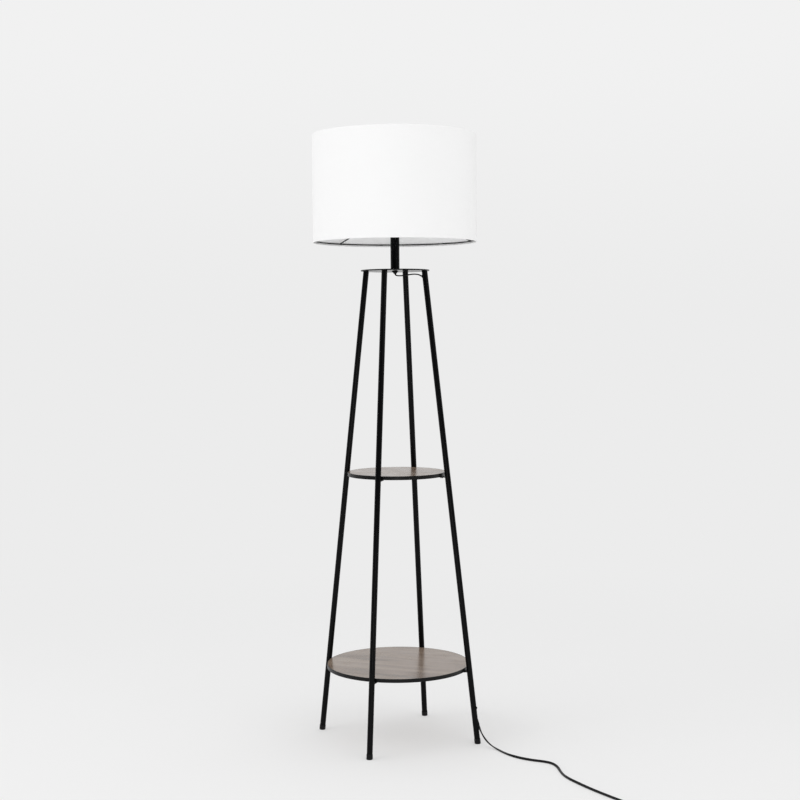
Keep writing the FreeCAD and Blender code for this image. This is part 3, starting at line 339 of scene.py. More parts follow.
def make_materials(colours, sizes):
    """One material for each slot of the record."""
    return {
        "black_steel": powder_coat(colours, sizes),
        # polypropylene from a spark-eroded mould: an even dull black
        "black_plastic": moulded_plastic("moulded_black_plastic", "#0B0B0C", "#0F0F10", 0.5,
                                         shine=0.2),
        # electroplated: pale grey, a little warm
        "zinc_steel": bare_metal("zinc_plated_steel", "#B9BABA", "#C9C9C6", 0.32),
        "wood_board": wood_laminate(colours, sizes),
        # extruded ABS strip ironed onto the board: satin, with a coarser pebble
        "black_edging": moulded_plastic("satin_edge_band", "#090909", "#0C0C0D", 0.36, 0.0012,
                                        shine=0.2),
        # fired and glazed, so a clear coat over a matt white body
        "ceramic": smooth_solid("glazed_porcelain", "#E6E2DA", "#EFECE6", 0.3, Coat_Weight=0.5),
        # stamped from sheet: yellow and bright
        "brass": bare_metal("pressed_brass", "#C9A661", "#D8B978", 0.28),
        # bright nickel over brass: a cool mirror, faintly drawn
        "bulb_metal": bare_metal("nickel_plated_brass", "#C6C6C8", "#D3D3D4", 0.26),
        # fused round the contact: deep black with a sharp highlight
        "black_glass": smooth_solid("black_glass", "#0A0A0B", "#101012", 0.12, IOR=1.52),
        # polycarbonate from a grained mould: dull white
        "bulb_housing": moulded_plastic("moulded_white_plastic", "#E8E8E6", "#EFEFEE", 0.5),
        # frosted inside, so it scatters light just under a smooth skin
        "bulb_globe": smooth_solid("opal_bulb", "#F1F1EE", "#F6F6F4", 0.35,
                                   Subsurface_Weight=0.2, Subsurface_Scale=0.004),
        "shade_cloth": woven_cotton(colours, sizes),
        # extruded sheet, evenly dull
        "shade_liner": smooth_solid("styrene_sheet", "#FBFBFB", "#FDFDFD", 0.5),
        # PVC extruded over the cores: satin black, its gloss broken along its length
        "lead": moulded_plastic("pvc_sheath", "#0A0A0B", "#0E0E0F", 0.42, 0.0008, shine=0.2),
        # PVC moulded onto the lead: as black, and duller
        "plug": moulded_plastic("moulded_pvc", "#0C0C0D", "#111112", 0.5, shine=0.25),
        # turned brass under nickel: warmer than the bulb's cap
        "pins": bare_metal("nickel_plated_pins", "#BEBBB2", "#CFCCC4", 0.24),
        # woven nylon with a pile: dull all over
        "tie": moulded_plastic("hook_and_loop_band", "#161617", "#222224", 0.8, 0.0004),
    }


# -------------------------------------------------------------------------------------- helpers

def deselect():
    """Leave edit mode and select nothing."""
    if bpy.context.object and bpy.context.object.mode != "OBJECT":
        bpy.ops.object.mode_set(mode="OBJECT")
    bpy.ops.object.select_all(action="DESELECT")


def select_only(*pieces):
    """Select these pieces and no other, the first of them active."""
    deselect()
    for obj in pieces:
        obj.select_set(True)
    bpy.context.view_layer.objects.active = pieces[0]


def coat(obj, slot):
    """Give an object the material of a slot, and nothing else."""
    obj.data.materials.clear()
    obj.data.materials.append(MATERIALS[slot])


def finish_piece(obj, slot, body, *nodes):
    """Settle a new piece: its place in its mesh, its finish, its body and what it replaces."""
    select_only(obj)
    bpy.ops.object.transform_apply(location=True, rotation=True, scale=True)
    coat(obj, slot)
    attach(obj, body)
    if nodes:
        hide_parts(*nodes)
    return obj


def join_pieces(pieces):
    """Join like pieces into the first of them."""
    select_only(*pieces)
    bpy.ops.object.join()
    return pieces[0]


def stand_along(obj, place, way):
    """Put a piece that was made on the Z axis at a place, pointing along a way."""
    obj.matrix_world = Matrix.Translation(place) @ way.to_track_quat(
        "Z", "Y").to_matrix().to_4x4()


def next_ring(rise, wider, deeper, height):
    """Extrude the selected ring along Z to a height and resize it there."""
    bpy.ops.mesh.extrude_region_move(TRANSFORM_OT_translate={"value": (0, 0, rise)})
    bpy.ops.transform.resize(value=(wider, deeper, 1), center_override=(0, 0, height))


def leave_edit(smooth_angle=40):
    """Turn the faces outwards, leave edit mode and smooth all but the sharp edges."""
    bpy.ops.mesh.normals_make_consistent(inside=False)
    bpy.ops.object.mode_set(mode="OBJECT")
    bpy.ops.object.shade_smooth_by_angle(angle=math.radians(smooth_angle))


def turned_piece(name, corners, steps, solid=False):
    """Turn (radius, height) corners about the Z axis by extruding a circle. A solid piece is
    closed across its first and last corner, and another one has its outline closed."""
    deselect()
    radius, height = corners[0]
    bpy.ops.mesh.primitive_circle_add(vertices=steps, radius=radius, location=(0, 0, height))
    obj = bpy.context.object
    obj.name = name
    bpy.ops.object.transform_apply(location=True, rotation=False, scale=False)
    bpy.ops.object.mode_set(mode="EDIT")
    bpy.ops.mesh.select_all(action="SELECT")
    for next_radius, next_height in [*corners[1:], *([] if solid else [corners[0]])]:
        next_ring(next_height - height, next_radius / radius, next_radius / radius, next_height)
        radius, height = next_radius, next_height
    bpy.ops.mesh.select_all(action="SELECT")
    if solid:
        bpy.ops.mesh.fill_holes(sides=0)
    bpy.ops.mesh.remove_doubles(threshold=1e-6)
    leave_edit()
    return obj


def stacked_piece(name, levels, steps, square):
    """Stack rounded rectangles along Z: each level is (height, half width, half depth). A
    square of 2 gives ellipses, and more gives sharper corners."""
    deselect()
    bpy.ops.mesh.primitive_circle_add(vertices=steps, radius=1, location=(0, 0, 0))
    obj = bpy.context.object
    obj.name = name
    height, wide, deep = levels[0]
    for vertex in obj.data.vertices:
        x, y = vertex.co.x, vertex.co.y
        vertex.co = (math.copysign(abs(x) ** (2 / square), x) * wide,
                     math.copysign(abs(y) ** (2 / square), y) * deep, height)
    bpy.ops.object.mode_set(mode="EDIT")
    bpy.ops.mesh.select_all(action="SELECT")
    for next_height, next_wide, next_deep in levels[1:]:
        next_ring(next_height - height, next_wide / wide, next_deep / deep, next_height)
        height, wide, deep = next_height, next_wide, next_deep
    bpy.ops.mesh.select_all(action="SELECT")
    bpy.ops.mesh.fill_holes(sides=0)
    leave_edit()
    return obj


# --------------------------------------------------------------------------------------- leads

def coil_place(turn):
    """The coil's centre line after a number of turns."""
    climb_to = TURNS_PER_LAYER + CLIMB
    inner = COIL_RADIUS - COIL_PITCH * TURNS_PER_LAYER
    if turn <= TURNS_PER_LAYER:
        radius, rise = COIL_RADIUS - COIL_PITCH * turn, 0.0
    elif turn >= climb_to:
        radius, rise = inner + COIL_PITCH * (turn - climb_to), 1.0
    else:
        radius = inner
        rise = 0.5 - 0.5 * math.cos(math.pi * (turn - TURNS_PER_LAYER) / CLIMB)
    angle = COIL_START - 2 * math.pi * turn
    return COIL_CENTRE + Vector((radius * math.cos(angle), radius * math.sin(angle),
                                 COIL_LOW + COIL_LAYER * rise))


def coil_heading(turn):
    """Which way the lead runs after a number of turns."""
    return (coil_place(turn + 1e-4) - coil_place(turn - 1e-4)).normalized()


def coil_route():
    """The coil's points with the straight ends that join it to the rest of the lead."""
    steps = round(COIL_TURNS * POINTS_PER_TURN)
    turns = [COIL_TURNS * i / steps for i in range(steps + 1)]
    start = coil_place(0) - coil_heading(0) * COIL_LEAD_IN
    end = coil_place(COIL_TURNS) + coil_heading(COIL_TURNS) * COIL_LEAD_IN
    return [(*point, 90) for point in [start, *map(coil_place, turns), end]]


def read_spline(points, name):
    """The points of a smooth spline through a cage of control points."""
    curve = bpy.data.curves.new(name, "CURVE")
    curve.dimensions = "3D"
    curve.resolution_u = 6
    spline = curve.splines.new("NURBS")
    spline.points.add(len(points) - 1)
    for control, place in zip(spline.points, points):
        control.co = (*place, 1)
    spline.order_u = 3
    spline.use_endpoint_u = True
    carrier = bpy.data.objects.new(name, curve)
    mesh = bpy.data.meshes.new_from_object(carrier)
    line = [vertex.co.copy() for vertex in mesh.vertices]
    bpy.data.objects.remove(carrier)
    bpy.data.curves.remove(curve)
    bpy.data.meshes.remove(mesh)
    return line


def flat_section(width, thickness, steps=6):
    """Outline of a flat strip: two straight sides and two half rounds."""
    radius = thickness / 2
    reach = max(width / 2 - radius, 0)
    outline = []
    for side in (1, -1):
        for i in range(steps + 1):
            angle = math.pi * (i / steps - 0.5)
            outline.append((side * (reach + radius * math.cos(angle)),
                            side * radius * math.sin(angle)))
    return outline


def frames_along(path, rolls=None, across=None):
    """Place, wide direction and thin direction at each point of a path."""
    frames = []
    for i, place in enumerate(path):
        ahead = (path[min(i + 1, len(path) - 1)] - path[max(i - 1, 0)]).normalized()
        side = Vector(across) if across else UP.cross(ahead).normalized()
        top = ahead.cross(side)
        angle = math.radians(rolls[i]) if rolls else 0
        frames.append((place, side * math.cos(angle) + top * math.sin(angle),
                       top * math.cos(angle) - side * math.sin(angle)))
    return frames


def frame_before_end(frames, distance):
    """The frame at a distance back from the last one."""
    walked = 0
    for after, before in zip(frames[::-1], frames[-2::-1]):
        step = (after[0] - before[0]).length
        if walked + step >= distance:
            return tuple(a.lerp(b, (distance - walked) / step) for a, b in zip(after, before))
        walked += step
    raise ValueError("the path is shorter than that")


def swept_strip(name, frames, sizes, ring=False, smooth_angle=50):
    """Join flat sections of the given (width, thickness) along frames. A ring has no end caps,
    and its last section joins its first."""
    vertices, faces = [], []
    outlines = [flat_section(*size) for size in sizes]
    count = len(outlines[0])
    for (place, wide, thin), outline in zip(frames, outlines):
        vertices += [place + wide * a + thin * b for a, b in outline]
    runs = len(frames) if ring else len(frames) - 1
    for i in range(runs):
        here, there = i * count, (i + 1) % len(frames) * count
        for j in range(count):
            k = (j + 1) % count
            faces.append((here + j, here + k, there + k, there + j))
    if not ring:
        faces.append(tuple(range(count))[::-1])
        faces.append(tuple(range((len(frames) - 1) * count, len(frames) * count)))
    mesh = bpy.data.meshes.new(name)
    mesh.from_pydata(vertices, [], faces)
    obj = bpy.data.objects.new(name, mesh)
    bpy.context.scene.collection.objects.link(obj)
    select_only(obj)
    bpy.ops.object.mode_set(mode="EDIT")
    bpy.ops.mesh.select_all(action="SELECT")
    leave_edit(smooth_angle)
    return obj


def flat_lead(name, route, across=None):
    """Sweep the flat sheath along a route, rolled as its points say. Returns it and its frames."""
    path = read_spline([point[:3] for point in route], name + "_line")
    rolls = [p.x for p in read_spline([(point[3], 0, 0) for point in route], name + "_roll")]
    frames = frames_along(path, rolls, across)
    obj = swept_strip(name, frames, [(CORD_WIDTH, CORD_THICKNESS)] * len(frames))
    return obj, frames


def sleeve_round_lead(name, mouth, way, levels):
    """An oval sleeve round the flat lead, its outline given as (distance along, width,
    thickness), outside first and then back inside."""
    across = Vector((0, 1, 0))
    thin = way.cross(across)
    frames = [(mouth + way * level[0] * MM, across, thin) for level in levels]
    sizes = [(level[1] * MM, level[2] * MM) for level in levels]
    return swept_strip(name, frames, sizes, ring=True, smooth_angle=40)


class LAMP_OT_bridge_lead(bpy.types.Operator):
    """The short stretch of lead from under the plate into the right leg"""
    bl_idname = "lamp.bridge_lead"
    bl_label = "Lead under the plate"

    def execute(self, context):
        obj, frames = flat_lead("lead_under_plate", BRIDGE_ROUTE, across=(0, 1, 0))
        finish_piece(obj, "lead", "stand", "cord_under_plate")
        return {"FINISHED"}


class LAMP_OT_mains_lead(bpy.types.Operator):
    """The mains lead from the leg's foot over the floor, through its coil and to the plug"""
    bl_idname = "lamp.mains_lead"
    bl_label = "Mains lead"

    def execute(self, context):
        way = Vector((math.cos(PLUG_HEADING), math.sin(PLUG_HEADING), 0))
        ending = [(*(PLUG_PLACE - way * LEAD_GUIDE), 0), (*PLUG_PLACE, 0)]
        coil = coil_route()
        join = (*(Vector(coil[0][:3]) - coil_heading(0) * LEAD_GUIDE), 90)
        leave = (*(Vector(coil[-1][:3]) + coil_heading(COIL_TURNS) * LEAD_GUIDE), 85)
        route = [*FLOOR_ROUTE, join, *coil, leave, *PLUG_ROUTE, *ending]
        obj, frames = flat_lead("mains_lead", route)
        finish_piece(obj, "lead", "stand", "cord_on_floor", "cord_coil", "cord_to_plug")
        with_pieces = [self.plug(way), self.pin_sleeves(way), self.strain_relief(frames),
                       self.tie(), frame["nodes"]["plug_pins"]]
        return {"FINISHED"}

    def plug(self, way):
        """Flat two-pin plug, ribbed where fingers pull it. Its levels are in millimetres: how far
        along it, half its width and half its depth."""
        ribs, rib_pitch, groove_depth = 6, 2.2, 0.6
        neck_wide, taper = 6, 18
        body_wide, body_deep = 16.5, 6.8
        levels = [(0, 4.9, 4.3), (0.5, 5.6, 5.0), (2, 6.6, 5.6)]
        for rib in range(ribs):
            start = 3 + rib_pitch * rib
            wide = neck_wide + (body_wide - neck_wide) * start / taper
            deep = min(5.9 + 0.09 * start, body_deep)
            groove = deep - groove_depth
            levels += [(start, wide, deep), (start + 1.3, wide + 0.7, deep),
                       (start + 1.6, wide + 0.1, groove), (start + 2.0, wide + 0.3, groove)]
        levels += [(17, 15.7, 6.7), (19, body_wide, body_deep), (34.4, body_wide, body_deep),
                   (35.5, 16.1, 6.4), (36, 15.3, 5.6)]
        levels = [tuple(number * MM for number in level) for level in levels]
        obj = stacked_piece("plug_shell", levels, 40, PLUG_SQUARE)
        obj.matrix_world = Matrix.Translation(PLUG_PLACE) @ Matrix(
            (UP.cross(way), UP, way)).transposed().to_4x4()
        return finish_piece(obj, "plug", "stand", "plug_body")

    def pin_sleeves(self, way):
        """Insulated halves of the two pins."""
        sleeves = []
        for side in (-1, 1):
            obj = turned_piece("pin_sleeve", [
                (2.0 * MM, -1 * MM), (2.25 * MM, -1 * MM), (2.25 * MM, 9.6 * MM),
                (2.12 * MM, 10 * MM), (2.0 * MM, 10 * MM)], 32)
            stand_along(obj, PLUG_PLACE + way * PLUG_LENGTH + UP.cross(way) * PIN_REACH * side,
                        way)
            sleeves.append(obj)
        both = join_pieces(sleeves)
        both.name = "pin_sleeves"
        return finish_piece(both, "plug", "stand")

    def strain_relief(self, frames):
        """Tapered, slotted tail of the plug round the last stretch of the lead."""
        length = 24 * MM
        slot_depth = 0.8 * MM
        steps = 48
        places, sizes = [], []
        for step in range(steps + 1):
            share = step / steps
            slot = slot_depth if 2 < step < steps - 2 and step % 6 in (3, 4) else 0
            places.append(frame_before_end(frames, length * (1 - share)))
            wide, thick = (6.8 + 3.6 * share) * MM, (4.0 + 4.2 * share) * MM
            sizes.append((wide - slot, thick - slot))
        obj = swept_strip("plug_strain_relief", places, sizes, smooth_angle=35)
        return finish_piece(obj, "plug", "stand")

    def tie(self):
        """Hook-and-loop band round the coil, its end lapped over on top. Millimetres out from
        the coil's middle and up."""
        angle = COIL_START + math.pi
        out = Vector((math.cos(angle), math.sin(angle), 0))
        bend_radius = 2
        width, thickness = 8 * MM, 0.8 * MM
        corners = [(42, 12, 90), (42, 2.5, 0), (27.2, 2.5, -90), (27.2, 12, -180)]
        line = [(33, 14)]
        for x, z, start in corners:
            for step in range(7):
                bend = math.radians(start - 15 * step)
                line.append((x + bend_radius * math.cos(bend), z + bend_radius * math.sin(bend)))
        line += [(29, 14.3), (31.5, 14.85), (34, 14.95), (40.5, 14.95)]
        path = [COIL_CENTRE + out * x * MM + UP * z * MM for x, z in line]
        frames = frames_along(path, across=UP.cross(out))
        obj = swept_strip("coil_tie", frames, [(width, thickness)] * len(path), smooth_angle=35)
        return finish_piece(obj, "tie", "stand", "cord_tie")


class LAMP_OT_lead_guides(bpy.types.Operator):
    """What holds the lead under the plate, at its way into the leg and at its way out"""
    bl_idname = "lamp.lead_guides"
    bl_label = "Lead guides"

    def execute(self, context):
        self.under_plate()
        self.way_in()
        self.way_out()
        self.clamp_screw()
        return {"FINISHED"}

    def under_plate(self):
        """Black nut on the threaded rod, and the soft cone below it that the lead hangs from."""
        low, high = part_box("rod_nut")
        across_flats = high.y - low.y
        deselect()
        bpy.ops.mesh.primitive_cylinder_add(
            vertices=6, radius=across_flats / 2 / math.cos(math.radians(30)),
            depth=high.z - low.z, location=(0, 0, (low.z + high.z) / 2))
        nut = bpy.context.object
        nut.name = "lead_nut"
        bpy.ops.object.mode_set(mode="EDIT")
        bpy.ops.mesh.select_all(action="SELECT")
        bpy.ops.mesh.bevel(offset=0.35 * MM, segments=3, affect="EDGES")
        bpy.ops.object.mode_set(mode="OBJECT")
        bpy.ops.object.shade_smooth_by_angle(angle=math.radians(40))
        finish_piece(nut, "black_steel", "stand", "rod_nut")
        top = low.z
        cone = turned_piece("lead_cone", [
            (2.4 * MM, top), (5.3 * MM, top), (5.5 * MM, top - 0.5 * MM),
            (4.6 * MM, top - 1.9 * MM), (3.6 * MM, top - 3.4 * MM), (3.1 * MM, top - 3.9 * MM),
            (2.5 * MM, top - 3.8 * MM)], 48)
        finish_piece(cone, "black_plastic", "stand", "rod_bushing")

    def way_in(self):
        """Grommet in the leg's inner side, its lip outside the tube."""
        obj = sleeve_round_lead("entry_grommet", WAY_IN, LEG_OUT, [
            (2.0, 6.7, 5.6), (0.9, 9.2, 7.2), (0.3, 9.2, 7.2), (0, 8.6, 6.6), (0, 7.2, 4.4),
            (0.4, 6.6, 3.8), (2.0, 6.6, 3.8)])
        finish_piece(obj, "black_plastic", "stand", "cord_entry_grommet")

    def way_out(self):
        """Sleeve that leads the flat sheath down and out of the leg."""
        way = Vector((math.sin(WAY_OUT_TILT), 0, -math.cos(WAY_OUT_TILT)))
        obj = sleeve_round_lead("exit_grommet", WAY_OUT, way, [
            (-17.5, 5.9, 5.9), (-2, 6.4, 5.6), (1.8, 7.0, 4.8), (2.4, 6.9, 4.5), (2.5, 6.6, 4.2),
            (2.5, 6.2, 3.4), (1.5, 6.1, 3.1), (-17.5, 4.6, 4.6)])
        finish_piece(obj, "black_plastic", "stand", "cord_exit_sleeve")

    def clamp_screw(self):
        """Small domed head on the right leg's outer side, above the lead's way out."""
        out = Matrix.Rotation(CLAMP_TURN, 3, LEG_UP) @ LEG_OUT
        in_leg = Vector((LEG_FOOT - CLAMP_HEIGHT * math.tan(LEG_LEAN), 0, CLAMP_HEIGHT))
        obj = turned_piece("clamp_screw", [
            (3.5 * MM, -1.0 * MM), (3.5 * MM, 1.0 * MM), (3.25 * MM, 1.55 * MM),
            (2.6 * MM, 2.0 * MM), (1.5 * MM, 2.3 * MM), (0.4 * MM, 2.4 * MM)], 32, solid=True)
        stand_along(obj, in_leg + out * LEG_RADIUS, out)
        finish_piece(obj, "black_steel", "stand")


class LAMP_OT_plate_screws(bpy.types.Operator):
    """Countersunk screws through the plate into the legs, with a cross recess"""
    bl_idname = "lamp.plate_screws"
    bl_label = "Plate screws"

    def execute(self, context):
        low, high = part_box("plate_screws")
        shank, head, head_height = 3 * MM, 5.4 * MM, 2.5 * MM
        slot_length, slot_width, slot_depth = 5.2 * MM, 1.1 * MM, 1.5 * MM
        screw = turned_piece("plate_screw_heads", [
            (shank, low.z), (shank, high.z - head_height), (head, high.z - 0.1 * MM),
            (head - 0.1 * MM, high.z)], 40, solid=True)
        for width, depth in ((slot_length, slot_width), (slot_width, slot_length)):
            bpy.ops.mesh.primitive_cube_add(size=1, location=(0, 0, high.z))
            cutter = bpy.context.object
            cutter.scale = (width, depth, 2 * slot_depth)
            select_only(screw)
            cut = screw.modifiers.new("recess", "BOOLEAN")
            cut.object = cutter
            cut.operation = "DIFFERENCE"
            cut.solver = "EXACT"
            bpy.ops.object.modifier_apply(modifier=cut.name)
            bpy.data.objects.remove(cutter)
        screws = [screw]
        for _ in range(3):
            other = screw.copy()
            other.data = screw.data.copy()
            bpy.context.scene.collection.objects.link(other)
            screws.append(other)
        for number, obj in enumerate(screws):
            angle = math.pi / 2 * number
            stopped = angle + 0.5 * number        # each screw's recess stopped somewhere else
            obj.matrix_world = Matrix.Translation(
                (LEG_TOP * math.cos(angle), LEG_TOP * math.sin(angle), 0)) @ Matrix.Rotation(
                    stopped, 4, "Z")
        finish_piece(join_pieces(screws), "black_steel", "stand", "plate_screws")
        return {"FINISHED"}


# --------------------------------------------------------------------------- finishes and cloth

class LAMP_OT_finishes(bpy.types.Operator):
    """Real finishes on every piece that keeps its solid"""
    bl_idname = "lamp.finishes"
    bl_label = "Finishes"

    def execute(self, context):
        for part in frame["record"]["subparts"]:
            obj = frame["nodes"][part["node"]]
            coat(obj, part["material_slot"])
        return {"FINISHED"}


class LAMP_OT_shade_cloth(bpy.types.Operator):
    """The drum's cotton, turned in round both wire rings, with its lapped seam"""
    bl_idname = "lamp.shade_cloth"
    bl_label = "Shade cloth"

    def execute(self, context):
        low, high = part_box("shade_fabric")
        outer = high.x
        cloth = 0.6 * MM
        hem = 9 * MM
        soft = 0.25 * MM                      # how far the folds' edges are rounded
        inner = outer - 2 * cloth             # the hem's outer side, past the liner
        fold = inner - cloth
        corners = [
            (fold, low.z + soft), (fold + soft, low.z), (outer - soft, low.z),
            (outer, low.z + soft), (outer, high.z - soft), (outer - soft, high.z),
            (fold + soft, high.z), (fold, high.z - soft), (fold, high.z - hem),
            (inner, high.z - hem), (inner, high.z - cloth), (outer - cloth, high.z - cloth),
            (outer - cloth, low.z + cloth), (inner, low.z + cloth), (inner, low.z + hem),
            (fold, low.z + hem)]
        obj = turned_piece("shade_cloth", corners, 192)
        self.lay_threads(obj, outer)
        finish_piece(obj, "shade_cloth", "shade", "shade_fabric")
        seam = self.seam(outer)
        return {"FINISHED"}

    def seam(self, outer):
        """Strip where the cloth's end laps over its start."""
        low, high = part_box("shade_seam")
        thickness = 0.5 * MM
        middle, height = outer + thickness / 2, (low.z + high.z) / 2
        angles = [math.radians(LAP_START + LAP_ANGLE * step / LAP_STEPS)
                  for step in range(LAP_STEPS + 1)]
        path = [Vector((middle * math.cos(angle), middle * math.sin(angle), height))
                for angle in angles]
        frames = frames_along(path, across=UP)
        obj = swept_strip("shade_lap", frames, [(high.z - low.z, thickness)] * len(path))
        self.lay_threads(obj, outer)
        return finish_piece(obj, "shade_cloth", "shade", "shade_seam")

    def lay_threads(self, obj, outer):
        """Unroll the drum: metres round it and metres up, for the weave to follow."""
        uv = obj.data.uv_layers.new(name="cloth")
        for face in obj.data.polygons:
            middle = math.atan2(face.center.y, face.center.x)
            for loop in face.loop_indices:
                co = obj.data.vertices[obj.data.loops[loop].vertex_index].co
                angle = math.atan2(co.y, co.x)
                angle += 2 * math.pi * round((middle - angle) / (2 * math.pi))
                uv.data[loop].uv = (angle * outer, co.z)


# ---------------------------------------------------------------------------------------- stage

class LAMP_OT_stage(bpy.types.Operator):
    """Pale seamless studio, soft light and the camera"""
    bl_idname = "lamp.stage"
    bl_label = "Studio"

    # The camera, fitted together with the lamp: its place, and how it heads, dips and rolls.
    place = (1.19332, -3.34404, 1.01073)
    heading, dip, roll = 19.483, 2.805, -0.425
    lens = 65.09
    away = (-0.336, 0.942, 0.0)        # level, from the camera towards the lamp
    aim = (0, 0, 0.7)                  # what the lamps point at

    def execute(self, context):
        scene = context.scene
        self.backdrop = scene.lamp_colours.room
        self.horizon = scene.lamp_colours.horizon
        self.camera(scene)
        self.sweep(scene)
        self.lights(scene)
        scene.view_settings.view_transform = "Standard"
        return {"FINISHED"}

    def camera(self, scene):
        """Camera at the photograph's viewing angle."""
        data = bpy.data.cameras.new("camera")
        data.lens = self.lens
        data.sensor_width = 36
        data.clip_end = 50
        obj = bpy.data.objects.new("camera", data)
        turn = (Matrix.Rotation(math.radians(self.heading), 4, "Z")
                @ Matrix.Rotation(math.radians(90 - self.dip), 4, "X")
                @ Matrix.Rotation(math.radians(self.roll), 4, "Z"))
        obj.matrix_world = Matrix.Translation(self.place) @ turn
        scene.collection.objects.link(obj)
        scene.camera = obj

    def sweep(self, scene):
        """Pale floor that keeps the lamp's shadow and fades into the backdrop further out. Where it
        is seen, glow in the horizon's tone is painted over at least 0.45 of it: painted light that
        makes the shadow faint."""
        deselect()
        bpy.ops.mesh.primitive_plane_add(size=24, location=(0, 0, 0))
        floor = bpy.context.object
        floor.name = "floor"
        # matt paper, a little grey, so that the lamp's white shade stays the palest thing
        paper, shader = surface("studio_paper", Roughness=0.9, Specular_IOR_Level=0.1,
                                Base_Color=linear("#F2F2F2"))
        far = node(paper, "ShaderNodeVectorMath", {0: object_place(paper)}, operation="LENGTH")
        # Painted light: near the lamp 0.45 of the floor is glow in the horizon's tone, which lifts
        # the lamp's shadow. Further out all of it becomes glow, the even backdrop.
        backdrop_and_painted_glow = node(paper, "ShaderNodeMapRange", {"Value": far.outputs["Value"]},
                    interpolation_type="SMOOTHSTEP", From_Min=0.9, From_Max=2.6,
                    To_Min=0.45)
        share = node(paper, "ShaderNodeMath", {0: backdrop_and_painted_glow.outputs["Result"], 1: self.seen(paper)},
                     operation="MULTIPLY")
        glow = node(paper, "ShaderNodeEmission", Color=linear(self.horizon), Strength=1.0)
        mixed = node(paper, "ShaderNodeMixShader", {
            "Fac": share.outputs[0], 1: shader.outputs["BSDF"], 2: glow.outputs["Emission"]})
        output = paper.node_tree.nodes["Material Output"]
        paper.node_tree.links.new(mixed.outputs["Shader"], output.inputs["Surface"])
        floor.data.materials.append(paper)

    def seen(self, material):
        """1 for what is seen straight, in a mirror or through glass, 0 for what only lights."""
        path = node(material, "ShaderNodeLightPath")
        both = node(material, "ShaderNodeMath", {
            0: path.outputs["Is Camera Ray"], 1: path.outputs["Is Glossy Ray"]},
            operation="MAXIMUM")
        every = node(material, "ShaderNodeMath", {
            0: both.outputs[0], 1: path.outputs["Is Transmission Ray"]}, operation="MAXIMUM")
        return every.outputs[0]

    def lights(self, scene):
        """Even soft light from the world, and three area lamps that shape it."""
        world = bpy.data.worlds.new("studio")
        world.use_nodes = True
        scene.world = world
        backdrop = world.node_tree.nodes["Background"]
        way = node(world, "ShaderNodeTexCoord").outputs["Generated"]
        height = node(world, "ShaderNodeSeparateXYZ", {"Vector": way})
        rise = node(world, "ShaderNodeValToRGB", {"Fac": height.outputs["Z"]})
        rise.color_ramp.interpolation = "EASE"
        rise.color_ramp.elements[0].color = linear(self.horizon)
        rise.color_ramp.elements[1].position = 0.2
        rise.color_ramp.elements[1].color = linear(self.backdrop)
        world.node_tree.links.new(rise.outputs["Color"], backdrop.inputs["Color"])
        # Mirrors see the pale backdrop behind the lamp and overhead, and a dim room before it.
        behind = node(world, "ShaderNodeVectorMath", {0: way}, operation="DOT_PRODUCT")
        behind.inputs[1].default_value = self.away
        back = node(world, "ShaderNodeMapRange", {"Value": behind.outputs["Value"]},
                    interpolation_type="SMOOTHSTEP", From_Min=-0.75, From_Max=0.35,
                    To_Min=0.08, To_Max=1.0)
        over = node(world, "ShaderNodeMapRange", {"Value": height.outputs["Z"]},
                    interpolation_type="SMOOTHSTEP", From_Min=0.2, From_Max=0.95)
        bright = node(world, "ShaderNodeMath",
                      {0: back.outputs["Result"], 1: over.outputs["Result"]}, operation="MAXIMUM")
        mirrored = node(world, "ShaderNodeBackground", {"Strength": bright.outputs[0]},
                        Color=linear(self.backdrop))
        soft = node(world, "ShaderNodeBackground", Color=linear(self.backdrop), Strength=0.95)
        path = node(world, "ShaderNodeLightPath")
        lit = node(world, "ShaderNodeMixShader", {
            "Fac": path.outputs["Is Glossy Ray"], 1: soft.outputs["Background"],
            2: mirrored.outputs["Background"]})
        direct = node(world, "ShaderNodeMath", {
            0: path.outputs["Is Camera Ray"], 1: path.outputs["Is Transmission Ray"]},
            operation="MAXIMUM")
        both = node(world, "ShaderNodeMixShader", {
            "Fac": direct.outputs[0], 1: lit.outputs["Shader"], 2: backdrop.outputs["Background"]})
        output = world.node_tree.nodes["World Output"]
        world.node_tree.links.new(both.outputs["Shader"], output.inputs["Surface"])
        for name, place, size, watts in (
                ("key", (-2.4, -2.2, 3.0), 2.4, 31), ("fill", (2.8, -1.6, 2.4), 2.4, 17),
                ("low_fill", (1.1, -3.1, 0.3), 0.8, 6)):
            data = bpy.data.lights.new(name, "AREA")
            data.size = size
            data.energy = watts
            obj = bpy.data.objects.new(name, data)
            way = Vector(self.aim) - Vector(place)
            obj.rotation_euler = way.to_track_quat("-Z", "Y").to_euler()
            obj.location = place
            obj.visible_camera = False
            scene.collection.objects.link(obj)


# ---------------------------------------------------------------------------------------- panel

PIECE_OPERATORS = (LAMP_OT_finishes, LAMP_OT_bridge_lead, LAMP_OT_mains_lead,
                   LAMP_OT_lead_guides, LAMP_OT_plate_screws, LAMP_OT_shade_cloth,
                   LAMP_OT_stage)


class LAMP_PT_panel(bpy.types.Panel):
    """Lists the lamp's pieces"""
    bl_idname = "LAMP_PT_panel"
    bl_label = "Shelf Floor Lamp"
    bl_space_type = "VIEW_3D"
    bl_region_type = "UI"
    bl_category = "Lamp"

    def draw(self, context):
        for name in LampSizes.__annotations__:
            self.layout.prop(context.scene.lamp_sizes, name)
        for name in LampColours.__annotations__:
            self.layout.prop(context.scene.lamp_colours, name)
        for operator in PIECE_OPERATORS:
            self.layout.operator(operator.bl_idname)


CLASSES = (LampSizes, LampColours, *PIECE_OPERATORS, LAMP_PT_panel)
MATERIALS = {}


def register():
    """Make the settings, the operators and the panel known to Blender."""
    for cls in CLASSES:
        bpy.utils.register_class(cls)
    bpy.types.Scene.lamp_sizes = bpy.props.PointerProperty(type=LampSizes)
    bpy.types.Scene.lamp_colours = bpy.props.PointerProperty(type=LampColours)


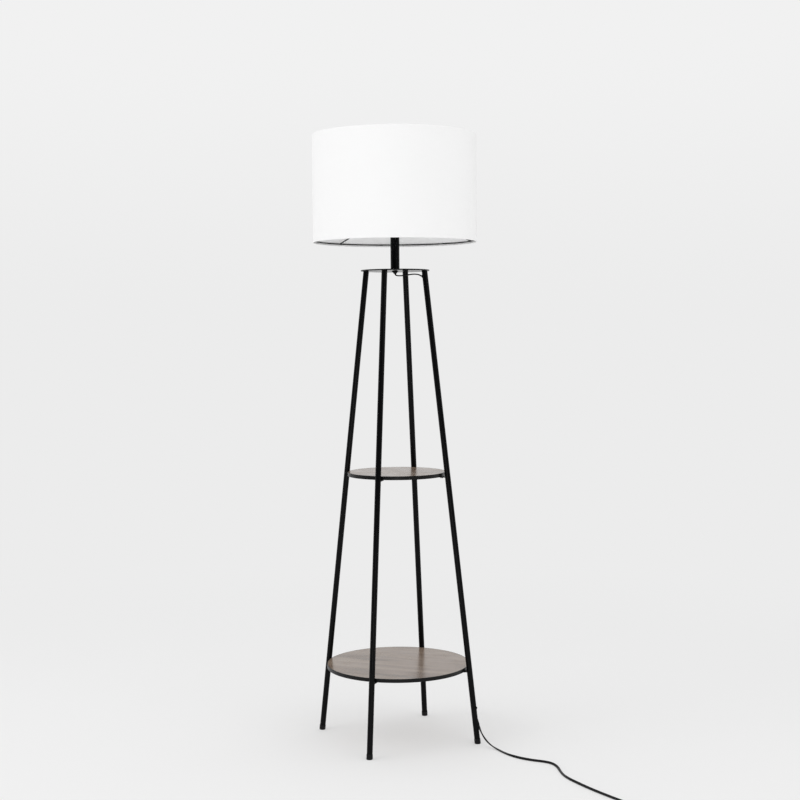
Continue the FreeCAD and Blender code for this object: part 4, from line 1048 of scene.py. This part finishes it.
def unregister():
    """Take them away again, last one first."""
    del bpy.types.Scene.lamp_colours
    del bpy.types.Scene.lamp_sizes
    for cls in reversed(CLASSES):
        bpy.utils.unregister_class(cls)


def main():
    """Dress the lamp: finishes, leads, lead guides, plate screws, shade cloth and studio."""
    register()
    scene = bpy.context.scene
    MATERIALS.update(make_materials(scene.lamp_colours, scene.lamp_sizes))
    bpy.ops.lamp.finishes()
    bpy.ops.lamp.bridge_lead()
    bpy.ops.lamp.mains_lead()
    bpy.ops.lamp.lead_guides()
    bpy.ops.lamp.plate_screws()
    bpy.ops.lamp.shade_cloth()
    bpy.ops.lamp.stage()


if __name__ == "__main__":
    main()
